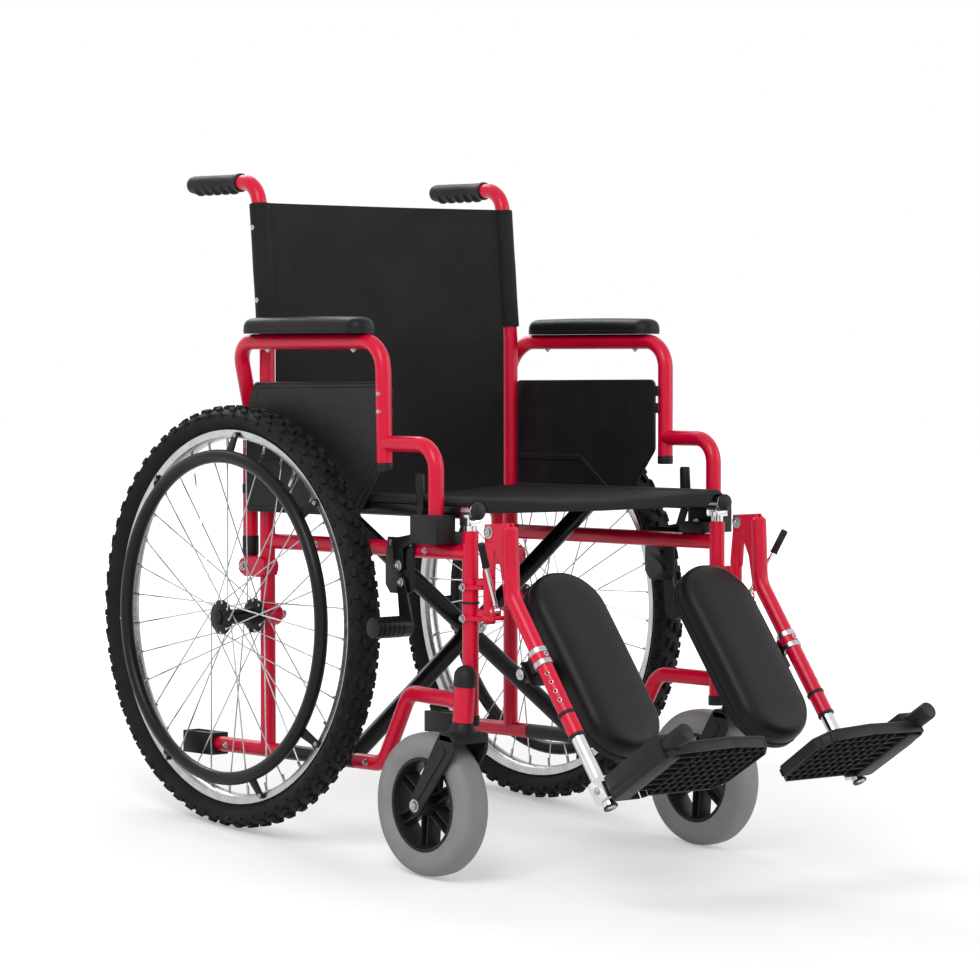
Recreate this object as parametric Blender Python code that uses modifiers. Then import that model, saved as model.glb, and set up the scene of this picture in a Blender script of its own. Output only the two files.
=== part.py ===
"""All-terrain wheelchair: folding cross brace, flip-back arms, elevating legrests.

Metres, +Z up, the chair faces -Y. World z = 0 is the floor. The frame is raked: its own
axes start on the rear axle line, y to the back and z up, turned by RAKE about X.
"""

from math import acos, cos, pi, radians, sin, tan

import bmesh
import bpy
from mathutils import Matrix, Vector

# Clearances
GAP = 0.0003            # between pieces that touch

# Stance
RAKE = radians(4.735)   # the frame's nose-up lean
AXLE_Y = 0.2884         # rear axle line behind the origin
WHEEL_STEPS = 32
CASTER_STEPS = 24

# Tubes
TUBE_R = 0.0111
BRACE_R = 0.0127
TUBE_SIDES = 2          # curve bevel resolution, eight sides

# Rear wheel, radii and half widths
WHEEL_X = 0.2898
RIM_R = 0.2695
TYRE_SECTION = 0.0360
TYRE_R = RIM_R + TYRE_SECTION
BEAD_HALF = 0.0105
WALL_R = RIM_R + 0.0165
WALL_HALF = 0.0255
SHOULDER_R = TYRE_R - 0.0090
SHOULDER_HALF = 0.0260
CROWN_HALF = 0.0115
RIM_DEPTH = 0.0139
RIM_BED_R = RIM_R - RIM_DEPTH
RIM_HALF = 0.0135
RIM_LIP = 0.0055
RIM_BED_HALF = 0.0075
HANDRIM_X = 0.3200
HANDRIM_DROP = 0.0382
HANDRIM_R = RIM_R - HANDRIM_DROP
HANDRIM_TUBE_R = 0.0097
HANDRIM_TABS = (45, 91, 137, 188, 239, 291, 325)
TAB_WIDE = 0.0140
TAB_T = 0.0040
TAB_REST = 0.0045
HUB_R = 0.0127
FLANGE_R = 0.0250
FLANGE_T = 0.0050
FLANGE_IN_X = 0.2605
FLANGE_OUT_X = 0.3191
HUB_IN_X = 0.2560
HUB_OUT_X = 0.3250
SPOKES = 36
SPOKE_R = 0.0009
SPOKE_SPREAD = 0.0022
SPOKE_HOLE_IN = 0.0030
AXLE_R = 0.0063
AXLE_NUT_R = 0.0105
AXLE_NUT_X = 0.2110
AXLE_TIP = 0.0060
AXLE_SPACER_R = 0.0095
AXLE_CAP_H = 0.0055
AXLE_CAP_EDGE = 0.0030
HUB_STEPS = 10

# Caster
CASTER_X = 0.2576
SWIVEL_FORWARD = 0.4700
TRAIL = 0.0551
CASTER_R = 0.0998
CASTER_HALF = 0.0240
CASTER_WALL_R = 0.0850
CASTER_SHOULDER = (0.0940, 0.0205)
CASTER_CROWN_HALF = 0.0100
CASTER_BEAD_HALF = 0.0185
CASTER_SEAT_R = 0.0650
CASTER_RIM_R = CASTER_SEAT_R - 0.0060
CASTER_RIM_HALF = 0.0190
CASTER_SPOKES = 6
CASTER_SPOKE_WIDE = 0.0140
CASTER_SPOKE_T = 0.0260
CASTER_BOSS_R = 0.0140
FORK_HALF = 0.0315
FORK_T = 0.0050
CROWN_TOP = 0.2075
CROWN_T = 0.0140
CROWN_Y = (-0.0200, 0.0140)
CONE_TOP_R = 0.0130
CONE_LOW_R = 0.0165
STEM_R = 0.0080
STEM_CEILING = 0.0060
STEM_STEPS = 12
BLADE_TOP_R = 0.0195
BLADE_END_R = 0.0130
CASTER_HEAD_R = 0.0080
CASTER_HEAD_H = 0.0040
CASTER_BOLT_R = 0.0048
HOUSING_R = 0.0143
HOUSING_LOW = 0.2205
HOUSING_TOP = 0.2720
CAP_R = 0.0158
CAP_H = 0.0270

# Side frame, in the raked frame
SIDE_X = 0.2335
REAR_Y = 0.0020
FRONT_Y = 0.0205 - SWIVEL_FORWARD
LOWER_Z = -0.1960
UPPER_Z = 0.1070
FRONT_LOW_Z = -0.1280
FRONT_TOP_Z = 0.1360
CANE_BEND_Z = 0.4000
CANE_TOP_Y = 0.0225
GRIP_Z = 0.6265
CANE_END_Y = 0.1745
RAIL_REAR_Y = 0.1334
CANE_BEND_R = 0.0350
SWEEP_Y = -0.2620
SWEEP_KNEE = (0.2365, 0.1465 - SWIVEL_FORWARD, -0.0915)
SWEEP_RUN = (0.2500, 0.0464 - SWIVEL_FORWARD, -0.0935)
SWEEP_BEND_R = 0.0300
BRACE_REAR_Y = -0.0443
BRACE_FRONT_Y = -0.2026
SPIGOT_R = 0.0080
SPIGOT_L = 0.0300
SPIGOT_ROOT = 0.0100
AXLE_BOSS_R = 0.0155
AXLE_BOSS_IN = 0.2190
AXLE_BOSS_OUT = 0.2500

# Grips and tipping feet
GRIP_R = 0.0135
GRIP_Y = 0.0615
GRIP_END_Y = 0.1820
GRIP_RIBS = 4
FOOT_Y = 0.1180
FOOT_END_Y = 0.1900
FOOT_HALF = 0.0150
FOOT_UNDER = 0.0165
FOOT_OVER = 0.0160
FOOT_WALL = 0.0030
TRAY_FLOOR = 0.0120
TRAY_GAP = 0.0060
RIB_DROP = 0.0042
RIB_SHARE = 0.3         # half a rib's length, as a share of the pitch
RIB_INSET = 0.0008

AXLE_Z = TYRE_R * cos(pi / WHEEL_STEPS)
FRAME = Matrix.Translation((0, AXLE_Y, AXLE_Z)) @ Matrix.Rotation(-RAKE, 4, "X")
WORLD = Matrix.Identity(4)
CASTER_AXLE_Z = CASTER_R * cos(pi / CASTER_STEPS)
SWIVEL_Y = AXLE_Y - SWIVEL_FORWARD

for old in list(bpy.data.objects):
    bpy.data.objects.remove(old, do_unlink=True)
PARTS = bpy.data.collections.new("all_terrain_wheelchair")
TOOLS = bpy.data.collections.new("cutters")
PIVOTS = bpy.data.collections.new("pivots")
for group in (PARTS, TOOLS, PIVOTS):
    bpy.context.scene.collection.children.link(group)

COLOURS = {
    "red_paint": ((0.62, 0.004, 0.030), 0.25, 0.0),
    "black_paint": ((0.012, 0.012, 0.013), 0.35, 0.0),
    "black_plastic": ((0.018, 0.018, 0.019), 0.5, 0.0),
    "black_vinyl": ((0.014, 0.014, 0.015), 0.6, 0.0),
    "tyre_rubber": ((0.016, 0.016, 0.017), 0.8, 0.0),
    "grey_rubber": ((0.17, 0.17, 0.175), 0.7, 0.0),
    "silver": ((0.6, 0.6, 0.61), 0.3, 1.0),
    "chrome": ((0.8, 0.8, 0.82), 0.12, 1.0),
}


def material(name, finish):
    """Each piece's own material, a Principled BSDF with the finish's values."""
    colour, roughness, metallic = COLOURS[finish]
    made = bpy.data.materials.new(name + "_" + finish)
    made.use_nodes = True
    shader = made.node_tree.nodes["Principled BSDF"]
    shader.inputs["Base Color"].default_value = (*colour, 1.0)
    shader.inputs["Roughness"].default_value = roughness
    shader.inputs["Metallic"].default_value = metallic
    return made


def shape(bm, place):
    """A bmesh becomes an unlinked object standing at a placement matrix."""
    bmesh.ops.remove_doubles(bm, verts=bm.verts, dist=1e-6)
    bmesh.ops.recalc_face_normals(bm, faces=bm.faces)
    mesh = bpy.data.meshes.new("shape")
    bm.to_mesh(mesh)
    bm.free()
    made = bpy.data.objects.new("shape", mesh)
    made.matrix_world = place
    return made


def evaluated(source, place):
    """A modifier stack or a curve becomes a plain welded mesh object."""
    TOOLS.objects.link(source)
    bpy.context.view_layer.update()
    graph = bpy.context.evaluated_depsgraph_get()
    mesh = bpy.data.meshes.new_from_object(source.evaluated_get(graph))
    bpy.data.objects.remove(source, do_unlink=True)
    bm = bmesh.new()
    bm.from_mesh(mesh)
    bpy.data.meshes.remove(mesh)
    return shape(bm, place)


def box(low, high, place=FRAME):
    """A block between two corners."""
    bm = bmesh.new()
    bmesh.ops.create_cube(bm, size=1.0)
    low = Vector(low)
    high = Vector(high)
    bmesh.ops.scale(bm, vec=[abs(v) for v in high - low], verts=bm.verts)
    bmesh.ops.translate(bm, vec=(low + high) / 2, verts=bm.verts)
    return shape(bm, place)


def spanned(s, a, b, y0, y1, z0, z1, place=FRAME):
    """A block between two distances from the middle plane on one side."""
    ends = sorted((s * a, s * b))
    return box((ends[0], y0, z0), (ends[1], y1, z1), place)


def rod(start, end, radius, sides=12, end_radius=None, place=FRAME):
    """A straight bar, or a cone, between two points."""
    start = Vector(start)
    end = Vector(end)
    axis = end - start
    turn = axis.to_track_quat("Z", "Y").to_matrix().to_4x4()
    bm = bmesh.new()
    bmesh.ops.create_cone(
        bm, cap_ends=True, segments=sides, radius1=radius,
        radius2=radius if end_radius is None else end_radius, depth=axis.length,
        matrix=Matrix.Translation((start + end) / 2) @ turn)
    return shape(bm, place)


def drill(start, end, radius, sides=10, place=FRAME):
    """The cutter for a hole that clears a round shaft of this radius on every flat."""
    return rod(start, end, (radius + GAP) / cos(pi / sides), sides, place=place)


def strip(start, end, width, thickness, across, place=FRAME):
    """A flat bar between two points, its width lying along the vector across."""
    start = Vector(start)
    end = Vector(end)
    along = (end - start).normalized()
    wide = Vector(across)
    wide = (wide - wide.dot(along) * along).normalized()
    thick = along.cross(wide)
    turn = Matrix((wide, thick, along)).transposed().to_4x4()
    bm = bmesh.new()
    bmesh.ops.create_cube(bm, size=1.0)
    bmesh.ops.scale(bm, vec=(width, thickness, (end - start).length), verts=bm.verts)
    bmesh.ops.transform(bm, matrix=Matrix.Translation((start + end) / 2) @ turn, verts=bm.verts)
    return shape(bm, place)


def fillet(points, radius, steps=4):
    """The points of a path whose inner corners are arcs of one radius."""
    points = [Vector(p) for p in points]
    path = [points[0]]
    for before, corner, after in zip(points, points[1:], points[2:]):
        back = (before - corner).normalized()
        ahead = (after - corner).normalized()
        half = back.angle(ahead) / 2
        reach = min(radius / tan(half), 0.49 * (before - corner).length, 0.49 * (after - corner).length)
        bend = reach * tan(half)
        centre = corner + (back + ahead).normalized() * (bend / sin(half))
        first = corner + back * reach - centre
        last = corner + ahead * reach - centre
        sweep = first.angle(last)
        for k in range(steps + 1):
            share = k / steps
            mix = (sin((1 - share) * sweep) * first + sin(share * sweep) * last) / sin(sweep)
            path.append(centre + mix)
    path.append(points[-1])
    return path


def pipe(points, radius, bend=0.03, steps=4, place=FRAME, sides=TUBE_SIDES):
    """A round bar along a path with rounded corners."""
    route = fillet(points, bend, steps)
    curve = bpy.data.curves.new("pipe", "CURVE")
    curve.dimensions = "3D"
    curve.bevel_depth = radius
    curve.bevel_resolution = sides
    curve.use_fill_caps = True
    spline = curve.splines.new("POLY")
    spline.points.add(len(route) - 1)
    for spot, point in zip(spline.points, route):
        spot.co = (*point, 1)
    return evaluated(bpy.data.objects.new("pipe", curve), place)


def turned(profile, steps, place, closed=False, phase=0.0):
    """A profile of (radius, height) points turned round the placement's Z axis."""
    mesh = bpy.data.meshes.new("profile")
    count = len(profile)
    spots = [(r * cos(phase), r * sin(phase), h) for r, h in profile]
    edges = [(k, k + 1) for k in range(count - 1)]
    if closed:
        edges.append((count - 1, 0))
    mesh.from_pydata(spots, edges, [])
    source = bpy.data.objects.new("profile", mesh)
    screw = source.modifiers.new("turn", "SCREW")
    screw.steps = steps
    screw.render_steps = steps
    screw.use_merge_vertices = True
    screw.merge_threshold = 0.00001
    return evaluated(source, place)


def plate(outline, low, high, place=FRAME, plane="YZ", bend=0.0, steps=3):
    """A flat outline, given in a plane, with its thickness between low and high."""
    points = [Vector((a, b, 0)) for a, b in outline]
    if bend:
        ring = points[-1:] + points + points[:1]
        points = fillet(ring, bend, steps)[1:-1]
    curve = bpy.data.curves.new("plate", "CURVE")
    curve.dimensions = "2D"
    curve.fill_mode = "BOTH"
    curve.extrude = (high - low) / 2
    spline = curve.splines.new("POLY")
    spline.use_cyclic_u = True
    spline.points.add(len(points) - 1)
    for spot, point in zip(spline.points, points):
        spot.co = (point.x, point.y, 0, 1)
    axes = {
        "YZ": Matrix(((0, 0, 1, 0), (1, 0, 0, 0), (0, 1, 0, 0), (0, 0, 0, 1))),
        "XZ": Matrix(((1, 0, 0, 0), (0, 0, -1, 0), (0, 1, 0, 0), (0, 0, 0, 1))),
        "XY": Matrix.Identity(4),
    }[plane]
    middle = (low + high) / 2
    if plane == "XZ":
        middle = -middle
    lift = Matrix.Translation((0, 0, middle))
    made = evaluated(bpy.data.objects.new("plate", curve), place)
    made.data.transform(axes @ lift)
    return made


def belt(a, radius_a, b, radius_b, steps=6):
    """The outline round two circles and their outer tangents, in plane coordinates."""
    a = Vector(a)
    b = Vector(b)
    span = b - a
    lean = acos((radius_a - radius_b) / span.length)
    heading = -Vector((1, 0)).angle_signed(span)
    points = []
    for k in range(steps + 1):
        angle = heading + lean + (2 * pi - 2 * lean) * k / steps
        points.append((a.x + radius_a * cos(angle), a.y + radius_a * sin(angle)))
    for k in range(steps + 1):
        angle = heading - lean + 2 * lean * k / steps
        points.append((b.x + radius_b * cos(angle), b.y + radius_b * sin(angle)))
    return points


def tool(piece):
    """Keeps a helper solid out of the model: wire display, never rendered."""
    piece.hide_render = True
    piece.display_type = "WIRE"
    TOOLS.objects.link(piece)
    return piece


def finish(name, base, finish_name, add=(), cut=(), pivot=None, smooth=35):
    """Names a base solid, joins and cuts it, paints it and hangs it on its pivot."""
    base.name = name
    base.data.name = name
    PARTS.objects.link(base)
    base.data.materials.append(material(name, finish_name))
    for way, solids in (("UNION", add), ("DIFFERENCE", cut)):
        for solid in solids:
            join = base.modifiers.new(way.lower(), "BOOLEAN")
            join.operation = way
            join.solver = "EXACT"
            join.object = tool(solid)
            solid.name = name + "_" + way.lower()
    base.data.shade_smooth()
    base.data.set_sharp_from_angle(angle=radians(smooth))
    if pivot is not None:
        base.parent = pivot
        base.matrix_parent_inverse = pivot.matrix_world.inverted()
    return base


def pivot_at(name, point, place=FRAME, parent=None):
    """An empty on a joint's axis."""
    empty = bpy.data.objects.new(name, None)
    empty.empty_display_size = 0.03
    PIVOTS.objects.link(empty)
    empty.matrix_world = place @ Matrix.Translation(point)
    if parent is not None:
        empty.parent = parent
        empty.matrix_parent_inverse = parent.matrix_world.inverted()
    bpy.context.view_layer.update()
    return empty


def world_point(x, forward, z):
    """A world place given by its distance ahead of the rear axle line."""
    return Vector((x, AXLE_Y - forward, z))


def framed(point):
    """A world point in the raked frame."""
    return FRAME.inverted() @ Vector(point)


def upright(x, forward):
    """A placement whose Z axis is the world's, on the floor."""
    return Matrix.Translation(world_point(x, forward, 0))


def across(x, y, z, side):
    """A placement whose Z axis points outward along X on one side."""
    return Matrix.Translation((x, y, z)) @ Matrix.Rotation(side * pi / 2, 4, "Y")


# Legrest clamps on the front upright, and the pins that the legrest hangs on
CLAMP_Z = (0.0180, 0.0603)
CLAMP_R = 0.0148
CLAMP_H = 0.0060
SWING_Y = FRONT_Y - 0.0230
SWING_PIN_R = 0.0040
SWING_PIN_H = 0.0100
SWING_LUG_R = 0.0063

# Arm pivot bracket on the rear upright
ARM_X = 0.2385
ARM_PIVOT_Y = 0.0360
ARM_PIVOT_Z = 0.0698
ARM_PIN_R = 0.0040
EAR_T = 0.0024
EAR_R = 0.0120
EAR_HEEL_R = 0.0150
ARM_PIN_PROUD = 0.0030
WRAP_Y = (0.0135, 0.0090)


def side_frame(name, s):
    """Cane, uprights, rails, axle boss, caster housing, clamps and arm bracket."""
    x = s * SIDE_X
    cane = pipe([(x, REAR_Y, LOWER_Z), (x, REAR_Y, CANE_BEND_Z), (x, CANE_TOP_Y, GRIP_Z),
                 (x, CANE_END_Y, GRIP_Z)], TUBE_R, bend=CANE_BEND_R, steps=3)
    front = rod((x, FRONT_Y, FRONT_LOW_Z), (x, FRONT_Y, FRONT_TOP_Z), TUBE_R, 10)
    upper = rod((x, REAR_Y, UPPER_Z), (x, FRONT_Y, UPPER_Z), TUBE_R, 8)
    lower = rod((x, RAIL_REAR_Y, LOWER_Z), (x, BRACE_REAR_Y, LOWER_Z), TUBE_R, 10)
    rear_spigot = rod((x, BRACE_REAR_Y + SPIGOT_ROOT, LOWER_Z), (x, BRACE_REAR_Y - SPIGOT_L, LOWER_Z),
                      SPIGOT_R, 8)
    housing_mid = framed(world_point(s * CASTER_X, SWIVEL_FORWARD, (HOUSING_LOW + HOUSING_TOP) / 2))
    sweep = pipe([(x, BRACE_FRONT_Y, LOWER_Z), (x, SWEEP_Y, LOWER_Z), (s * SWEEP_KNEE[0], *SWEEP_KNEE[1:]),
                  (s * SWEEP_RUN[0], *SWEEP_RUN[1:]), housing_mid], TUBE_R, bend=SWEEP_BEND_R, steps=3)
    front_spigot = rod((x, BRACE_FRONT_Y - SPIGOT_ROOT, LOWER_Z), (x, BRACE_FRONT_Y + SPIGOT_L, LOWER_Z),
                       SPIGOT_R, 8)
    place = upright(s * CASTER_X, SWIVEL_FORWARD)
    dome = [(0, HOUSING_TOP + CAP_H)]
    for k in (1, 2, 3):
        angle = k * pi / 6
        dome.append((CAP_R * sin(angle), HOUSING_TOP + CAP_H - CAP_R * (1 - cos(angle))))
    dome += [(CAP_R, HOUSING_TOP), (HOUSING_R, HOUSING_TOP), (HOUSING_R, HOUSING_LOW), (0, HOUSING_LOW)]
    housing = turned(dome, 10, place)
    boss = rod((s * AXLE_BOSS_IN, 0, 0), (s * AXLE_BOSS_OUT, 0, 0), AXLE_BOSS_R, 12)
    add = [front, upper, lower, rear_spigot, sweep, front_spigot, housing, boss]
    for z in CLAMP_Z:
        outline = belt((x, FRONT_Y), CLAMP_R, (x, SWING_Y), SWING_LUG_R, 5)
        add.append(plate(outline, z - CLAMP_H / 2, z + CLAMP_H / 2, plane="XY"))
        add.append(rod((x, SWING_Y, z), (x, SWING_Y, z + CLAMP_H / 2 + SWING_PIN_H), SWING_PIN_R, 8))
    inner = ARM_X - TUBE_R - GAP
    outer = ARM_X + TUBE_R + GAP
    for low in (inner - EAR_T, outer):
        outline = belt((REAR_Y, ARM_PIVOT_Z), EAR_HEEL_R, (ARM_PIVOT_Y, ARM_PIVOT_Z), EAR_R, 4)
        ends = sorted((s * low, s * (low + EAR_T)))
        add.append(plate(outline, ends[0], ends[1]))
    wrap_x = sorted((s * (inner - EAR_T / 2), s * (outer + EAR_T / 2)))
    add.append(box((wrap_x[0], REAR_Y - WRAP_Y[0], ARM_PIVOT_Z - EAR_R),
                   (wrap_x[1], REAR_Y - WRAP_Y[1], ARM_PIVOT_Z + EAR_R)))
    add.append(rod((s * (inner - EAR_T - ARM_PIN_PROUD), ARM_PIVOT_Y, ARM_PIVOT_Z),
                   (s * (outer + EAR_T + ARM_PIN_PROUD), ARM_PIVOT_Y, ARM_PIVOT_Z), ARM_PIN_R, 8))
    plug_bore = drill((x, FRONT_Y, FRONT_TOP_Z - PLUG_DEPTH), (x, FRONT_Y, FRONT_TOP_Z + 0.01), PLUG_R)
    stem_bore = drill((0, 0, HOUSING_LOW - 0.01), (0, 0, HOUSING_TOP - STEM_CEILING), STEM_R, STEM_STEPS,
                      place)
    axle_bore = drill((s * (AXLE_BOSS_IN - 0.01), 0, 0), (s * (AXLE_BOSS_OUT + 0.01), 0, 0), AXLE_R, 12)
    return finish(name, cane, "red_paint", add, [plug_bore, stem_bore, axle_bore])


# Chrome plug in the front upright, with the saddle that carries the seat rail
PLUG_R = 0.0087
PLUG_DEPTH = 0.0200
RAIL_Z = 0.1636
SADDLE_HALF = 0.0112
SADDLE_LONG = 0.0100
SADDLE_LOW = 0.1440
SADDLE_TOP = 0.1590


def upright_plug(name, s):
    x = s * SIDE_X
    stem = rod((x, FRONT_Y, FRONT_TOP_Z - PLUG_DEPTH + GAP), (x, FRONT_Y, SADDLE_LOW + 0.003), PLUG_R, 10)
    saddle = box((x - SADDLE_HALF, FRONT_Y - SADDLE_LONG, SADDLE_LOW),
                 (x + SADDLE_HALF, FRONT_Y + SADDLE_LONG, SADDLE_TOP))
    groove = drill((x, FRONT_Y - 0.02, RAIL_Z), (x, FRONT_Y + 0.02, RAIL_Z), TUBE_R)
    return finish(name, stem, "chrome", [saddle], [groove])


def push_grip(name, s):
    """A rubber sleeve with finger ribs below."""
    x = s * SIDE_X
    sleeve = rod((x, GRIP_Y, GRIP_Z), (x, GRIP_END_Y, GRIP_Z), GRIP_R, 14)
    ribs = []
    pitch = (GRIP_END_Y - GRIP_Y) / (GRIP_RIBS + 1)
    for k in range(GRIP_RIBS):
        middle = GRIP_Y + pitch * (k + 1)
        half = RIB_SHARE * pitch
        ribs.append(rod((x, middle - half, GRIP_Z - RIB_DROP), (x, middle + half, GRIP_Z - RIB_DROP),
                        GRIP_R - RIB_INSET, 8))
    bore = drill((x, GRIP_Y - 0.01, GRIP_Z), (x, CANE_END_Y + GAP, GRIP_Z), TUBE_R)
    return finish(name, sleeve, "black_plastic", ribs, [bore], smooth=50)


def tipping_foot(name, s):
    x = s * SIDE_X
    body = box((x - FOOT_HALF, FOOT_Y, LOWER_Z - FOOT_UNDER),
               (x + FOOT_HALF, FOOT_END_Y, LOWER_Z + FOOT_OVER))
    bore = drill((x, FOOT_Y - 0.01, LOWER_Z), (x, RAIL_REAR_Y + GAP, LOWER_Z), TUBE_R)
    tray = box((x - FOOT_HALF + FOOT_WALL, RAIL_REAR_Y + TRAY_GAP, LOWER_Z + TRAY_FLOOR),
               (x + FOOT_HALF - FOOT_WALL, FOOT_END_Y - FOOT_WALL, LOWER_Z + 2 * FOOT_OVER))
    return finish(name, body, "black_plastic", [], [bore, tray])


def wheel_place(s, x):
    return across(s * x, AXLE_Y, AXLE_Z, s)


def ring_phase(steps):
    """Turns a polygon so that one flat lies straight down."""
    return pi / steps


def rear_tyre(name, s, hang):
    half = [(RIM_R + GAP, BEAD_HALF), (WALL_R, WALL_HALF), (SHOULDER_R, SHOULDER_HALF), (TYRE_R, CROWN_HALF)]
    profile = [(r, -w) for r, w in half] + [(r, w) for r, w in reversed(half)]
    tyre = turned(profile, WHEEL_STEPS, wheel_place(s, WHEEL_X), closed=True, phase=ring_phase(WHEEL_STEPS))
    return finish(name, tyre, "tyre_rubber", pivot=hang)


def rear_rim(name, s, hang):
    half = [(RIM_R, RIM_HALF), (RIM_R - RIM_LIP, RIM_HALF), (RIM_BED_R, RIM_BED_HALF)]
    profile = [(r, -w) for r, w in half] + [(r, w) for r, w in reversed(half)]
    rim = turned(profile, WHEEL_STEPS, wheel_place(s, WHEEL_X), closed=True, phase=ring_phase(WHEEL_STEPS))
    return finish(name, rim, "silver", pivot=hang)


def wheel_spot(s, x, radius, degrees_up):
    """A world point on a rear wheel; the angle runs from straight ahead upward."""
    angle = radians(degrees_up)
    return Vector((s * x, AXLE_Y - radius * cos(angle), AXLE_Z + radius * sin(angle)))


def handrim(name, s, hang):
    """The push ring and the tabs that stand it off the rim."""
    circle = []
    for k in range(6):
        angle = pi * k / 3
        circle.append((HANDRIM_R + HANDRIM_TUBE_R * cos(angle), HANDRIM_TUBE_R * sin(angle)))
    ring = turned(circle, WHEEL_STEPS, wheel_place(s, HANDRIM_X), closed=True, phase=ring_phase(WHEEL_STEPS))
    tabs = []
    face = WHEEL_X + RIM_HALF + GAP
    for angle in HANDRIM_TABS:
        side = wheel_spot(s, 0, 1, angle + 90) - wheel_spot(s, 0, 0, 0)
        inner = wheel_spot(s, HANDRIM_X - TAB_T * 0.75, HANDRIM_R + TAB_T, angle)
        outer = wheel_spot(s, face + TAB_T / 2, RIM_R - TAB_REST, angle)
        tabs.append(strip(inner, outer, TAB_WIDE, TAB_T, side, WORLD))
    return finish(name, ring, "black_paint", tabs, pivot=hang)


def rear_hub(name, s, hang):
    """Flanged hub shell with its crossed spokes, drawn up to the rim bed."""
    bore = (AXLE_R + GAP) / cos(pi / HUB_STEPS)
    profile = [(bore, HUB_IN_X), (HUB_R, HUB_IN_X)]
    for middle in (FLANGE_IN_X, FLANGE_OUT_X):
        profile += [(HUB_R, middle - FLANGE_T / 2), (FLANGE_R, middle - FLANGE_T / 2),
                    (FLANGE_R, middle + FLANGE_T / 2), (HUB_R, middle + FLANGE_T / 2)]
    profile += [(HUB_R, HUB_OUT_X), (bore, HUB_OUT_X)]
    shell = turned(profile, HUB_STEPS, wheel_place(s, 0), closed=True)
    spokes = bmesh.new()
    tip_r = RIM_BED_R * cos(pi / WHEEL_STEPS) - GAP
    pitch = 4 * 360 / SPOKES
    for flange, shift in ((FLANGE_OUT_X, 0), (FLANGE_IN_X, 360 / SPOKES)):
        for k in range(SPOKES // 4):
            for turn, lead, lean in ((0, 1.5 * pitch, 1), (pitch / 2, -1.5 * pitch, -1)):
                start = wheel_spot(s, flange + lean * SPOKE_SPREAD, FLANGE_R - SPOKE_HOLE_IN,
                                   k * pitch + turn + shift)
                end = wheel_spot(s, WHEEL_X, tip_r, k * pitch + turn + shift + lead)
                wire = rod(start, end, SPOKE_R, 3, place=WORLD)
                spokes.from_mesh(wire.data)
                bpy.data.objects.remove(wire, do_unlink=True)
    return finish(name, shell, "black_paint", [shape(spokes, WORLD)], pivot=hang)


def rear_axle(name, s):
    """The axle bolt: inner nut, spacer between frame and hub, outer cap."""
    cap = HUB_OUT_X + GAP
    profile = [(0, AXLE_NUT_X - AXLE_TIP), (AXLE_R, AXLE_NUT_X - AXLE_TIP), (AXLE_R, AXLE_NUT_X),
               (AXLE_NUT_R, AXLE_NUT_X), (AXLE_NUT_R, AXLE_BOSS_IN - GAP), (AXLE_R, AXLE_BOSS_IN - GAP),
               (AXLE_R, AXLE_BOSS_OUT + GAP), (AXLE_SPACER_R, AXLE_BOSS_OUT + GAP),
               (AXLE_SPACER_R, HUB_IN_X - GAP), (AXLE_R, HUB_IN_X - GAP),
               (AXLE_R, cap), (AXLE_NUT_R, cap), (AXLE_NUT_R, HUB_OUT_X + AXLE_CAP_EDGE),
               (AXLE_R, HUB_OUT_X + AXLE_CAP_H), (0, HUB_OUT_X + AXLE_CAP_H)]
    return finish(name, turned(profile, HUB_STEPS, wheel_place(s, 0)), "silver")


def caster_fork(name, s, hang):
    """Stem, crown, two blades and the axle bolt."""
    place = upright(s * CASTER_X, SWIVEL_FORWARD)
    stem_top = HOUSING_TOP - STEM_CEILING - GAP
    root = CROWN_TOP - 0.002
    stem = turned([(0, stem_top), (STEM_R, stem_top), (STEM_R, HOUSING_LOW - GAP),
                   (CONE_TOP_R, HOUSING_LOW - GAP), (CONE_LOW_R, root), (0, root)], STEM_STEPS, place)
    crown = box((-FORK_HALF, CROWN_Y[0], CROWN_TOP - CROWN_T), (FORK_HALF, CROWN_Y[1], CROWN_TOP), place)
    outline = belt((0, CROWN_TOP - BLADE_TOP_R), BLADE_TOP_R, (TRAIL, CASTER_AXLE_Z), BLADE_END_R, 5)
    blades = [plate(outline, -FORK_HALF, FORK_T - FORK_HALF, place),
              plate(outline, FORK_HALF - FORK_T, FORK_HALF, place)]
    bolt = rod((-FORK_HALF - 0.003, TRAIL, CASTER_AXLE_Z), (FORK_HALF + 0.003, TRAIL, CASTER_AXLE_Z),
               CASTER_BOLT_R, 8, place=place)
    heads = []
    for e in (-1, 1):
        heads.append(rod((e * (FORK_HALF - 0.001), TRAIL, CASTER_AXLE_Z),
                         (e * (FORK_HALF + CASTER_HEAD_H), TRAIL, CASTER_AXLE_Z), CASTER_HEAD_R, 6,
                         place=place))
    return finish(name, stem, "black_plastic", [crown] + blades + [bolt] + heads, pivot=hang)


def caster_place(s):
    return across(s * CASTER_X, SWIVEL_Y + TRAIL, CASTER_AXLE_Z, s)


def caster_tyre(name, s, hang):
    half = [(CASTER_SEAT_R + GAP, CASTER_BEAD_HALF), (CASTER_WALL_R, CASTER_HALF), CASTER_SHOULDER,
            (CASTER_R, CASTER_CROWN_HALF)]
    profile = [(r, -w) for r, w in half] + [(r, w) for r, w in reversed(half)]
    tyre = turned(profile, CASTER_STEPS, caster_place(s), closed=True, phase=ring_phase(CASTER_STEPS))
    return finish(name, tyre, "grey_rubber", pivot=hang)


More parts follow.
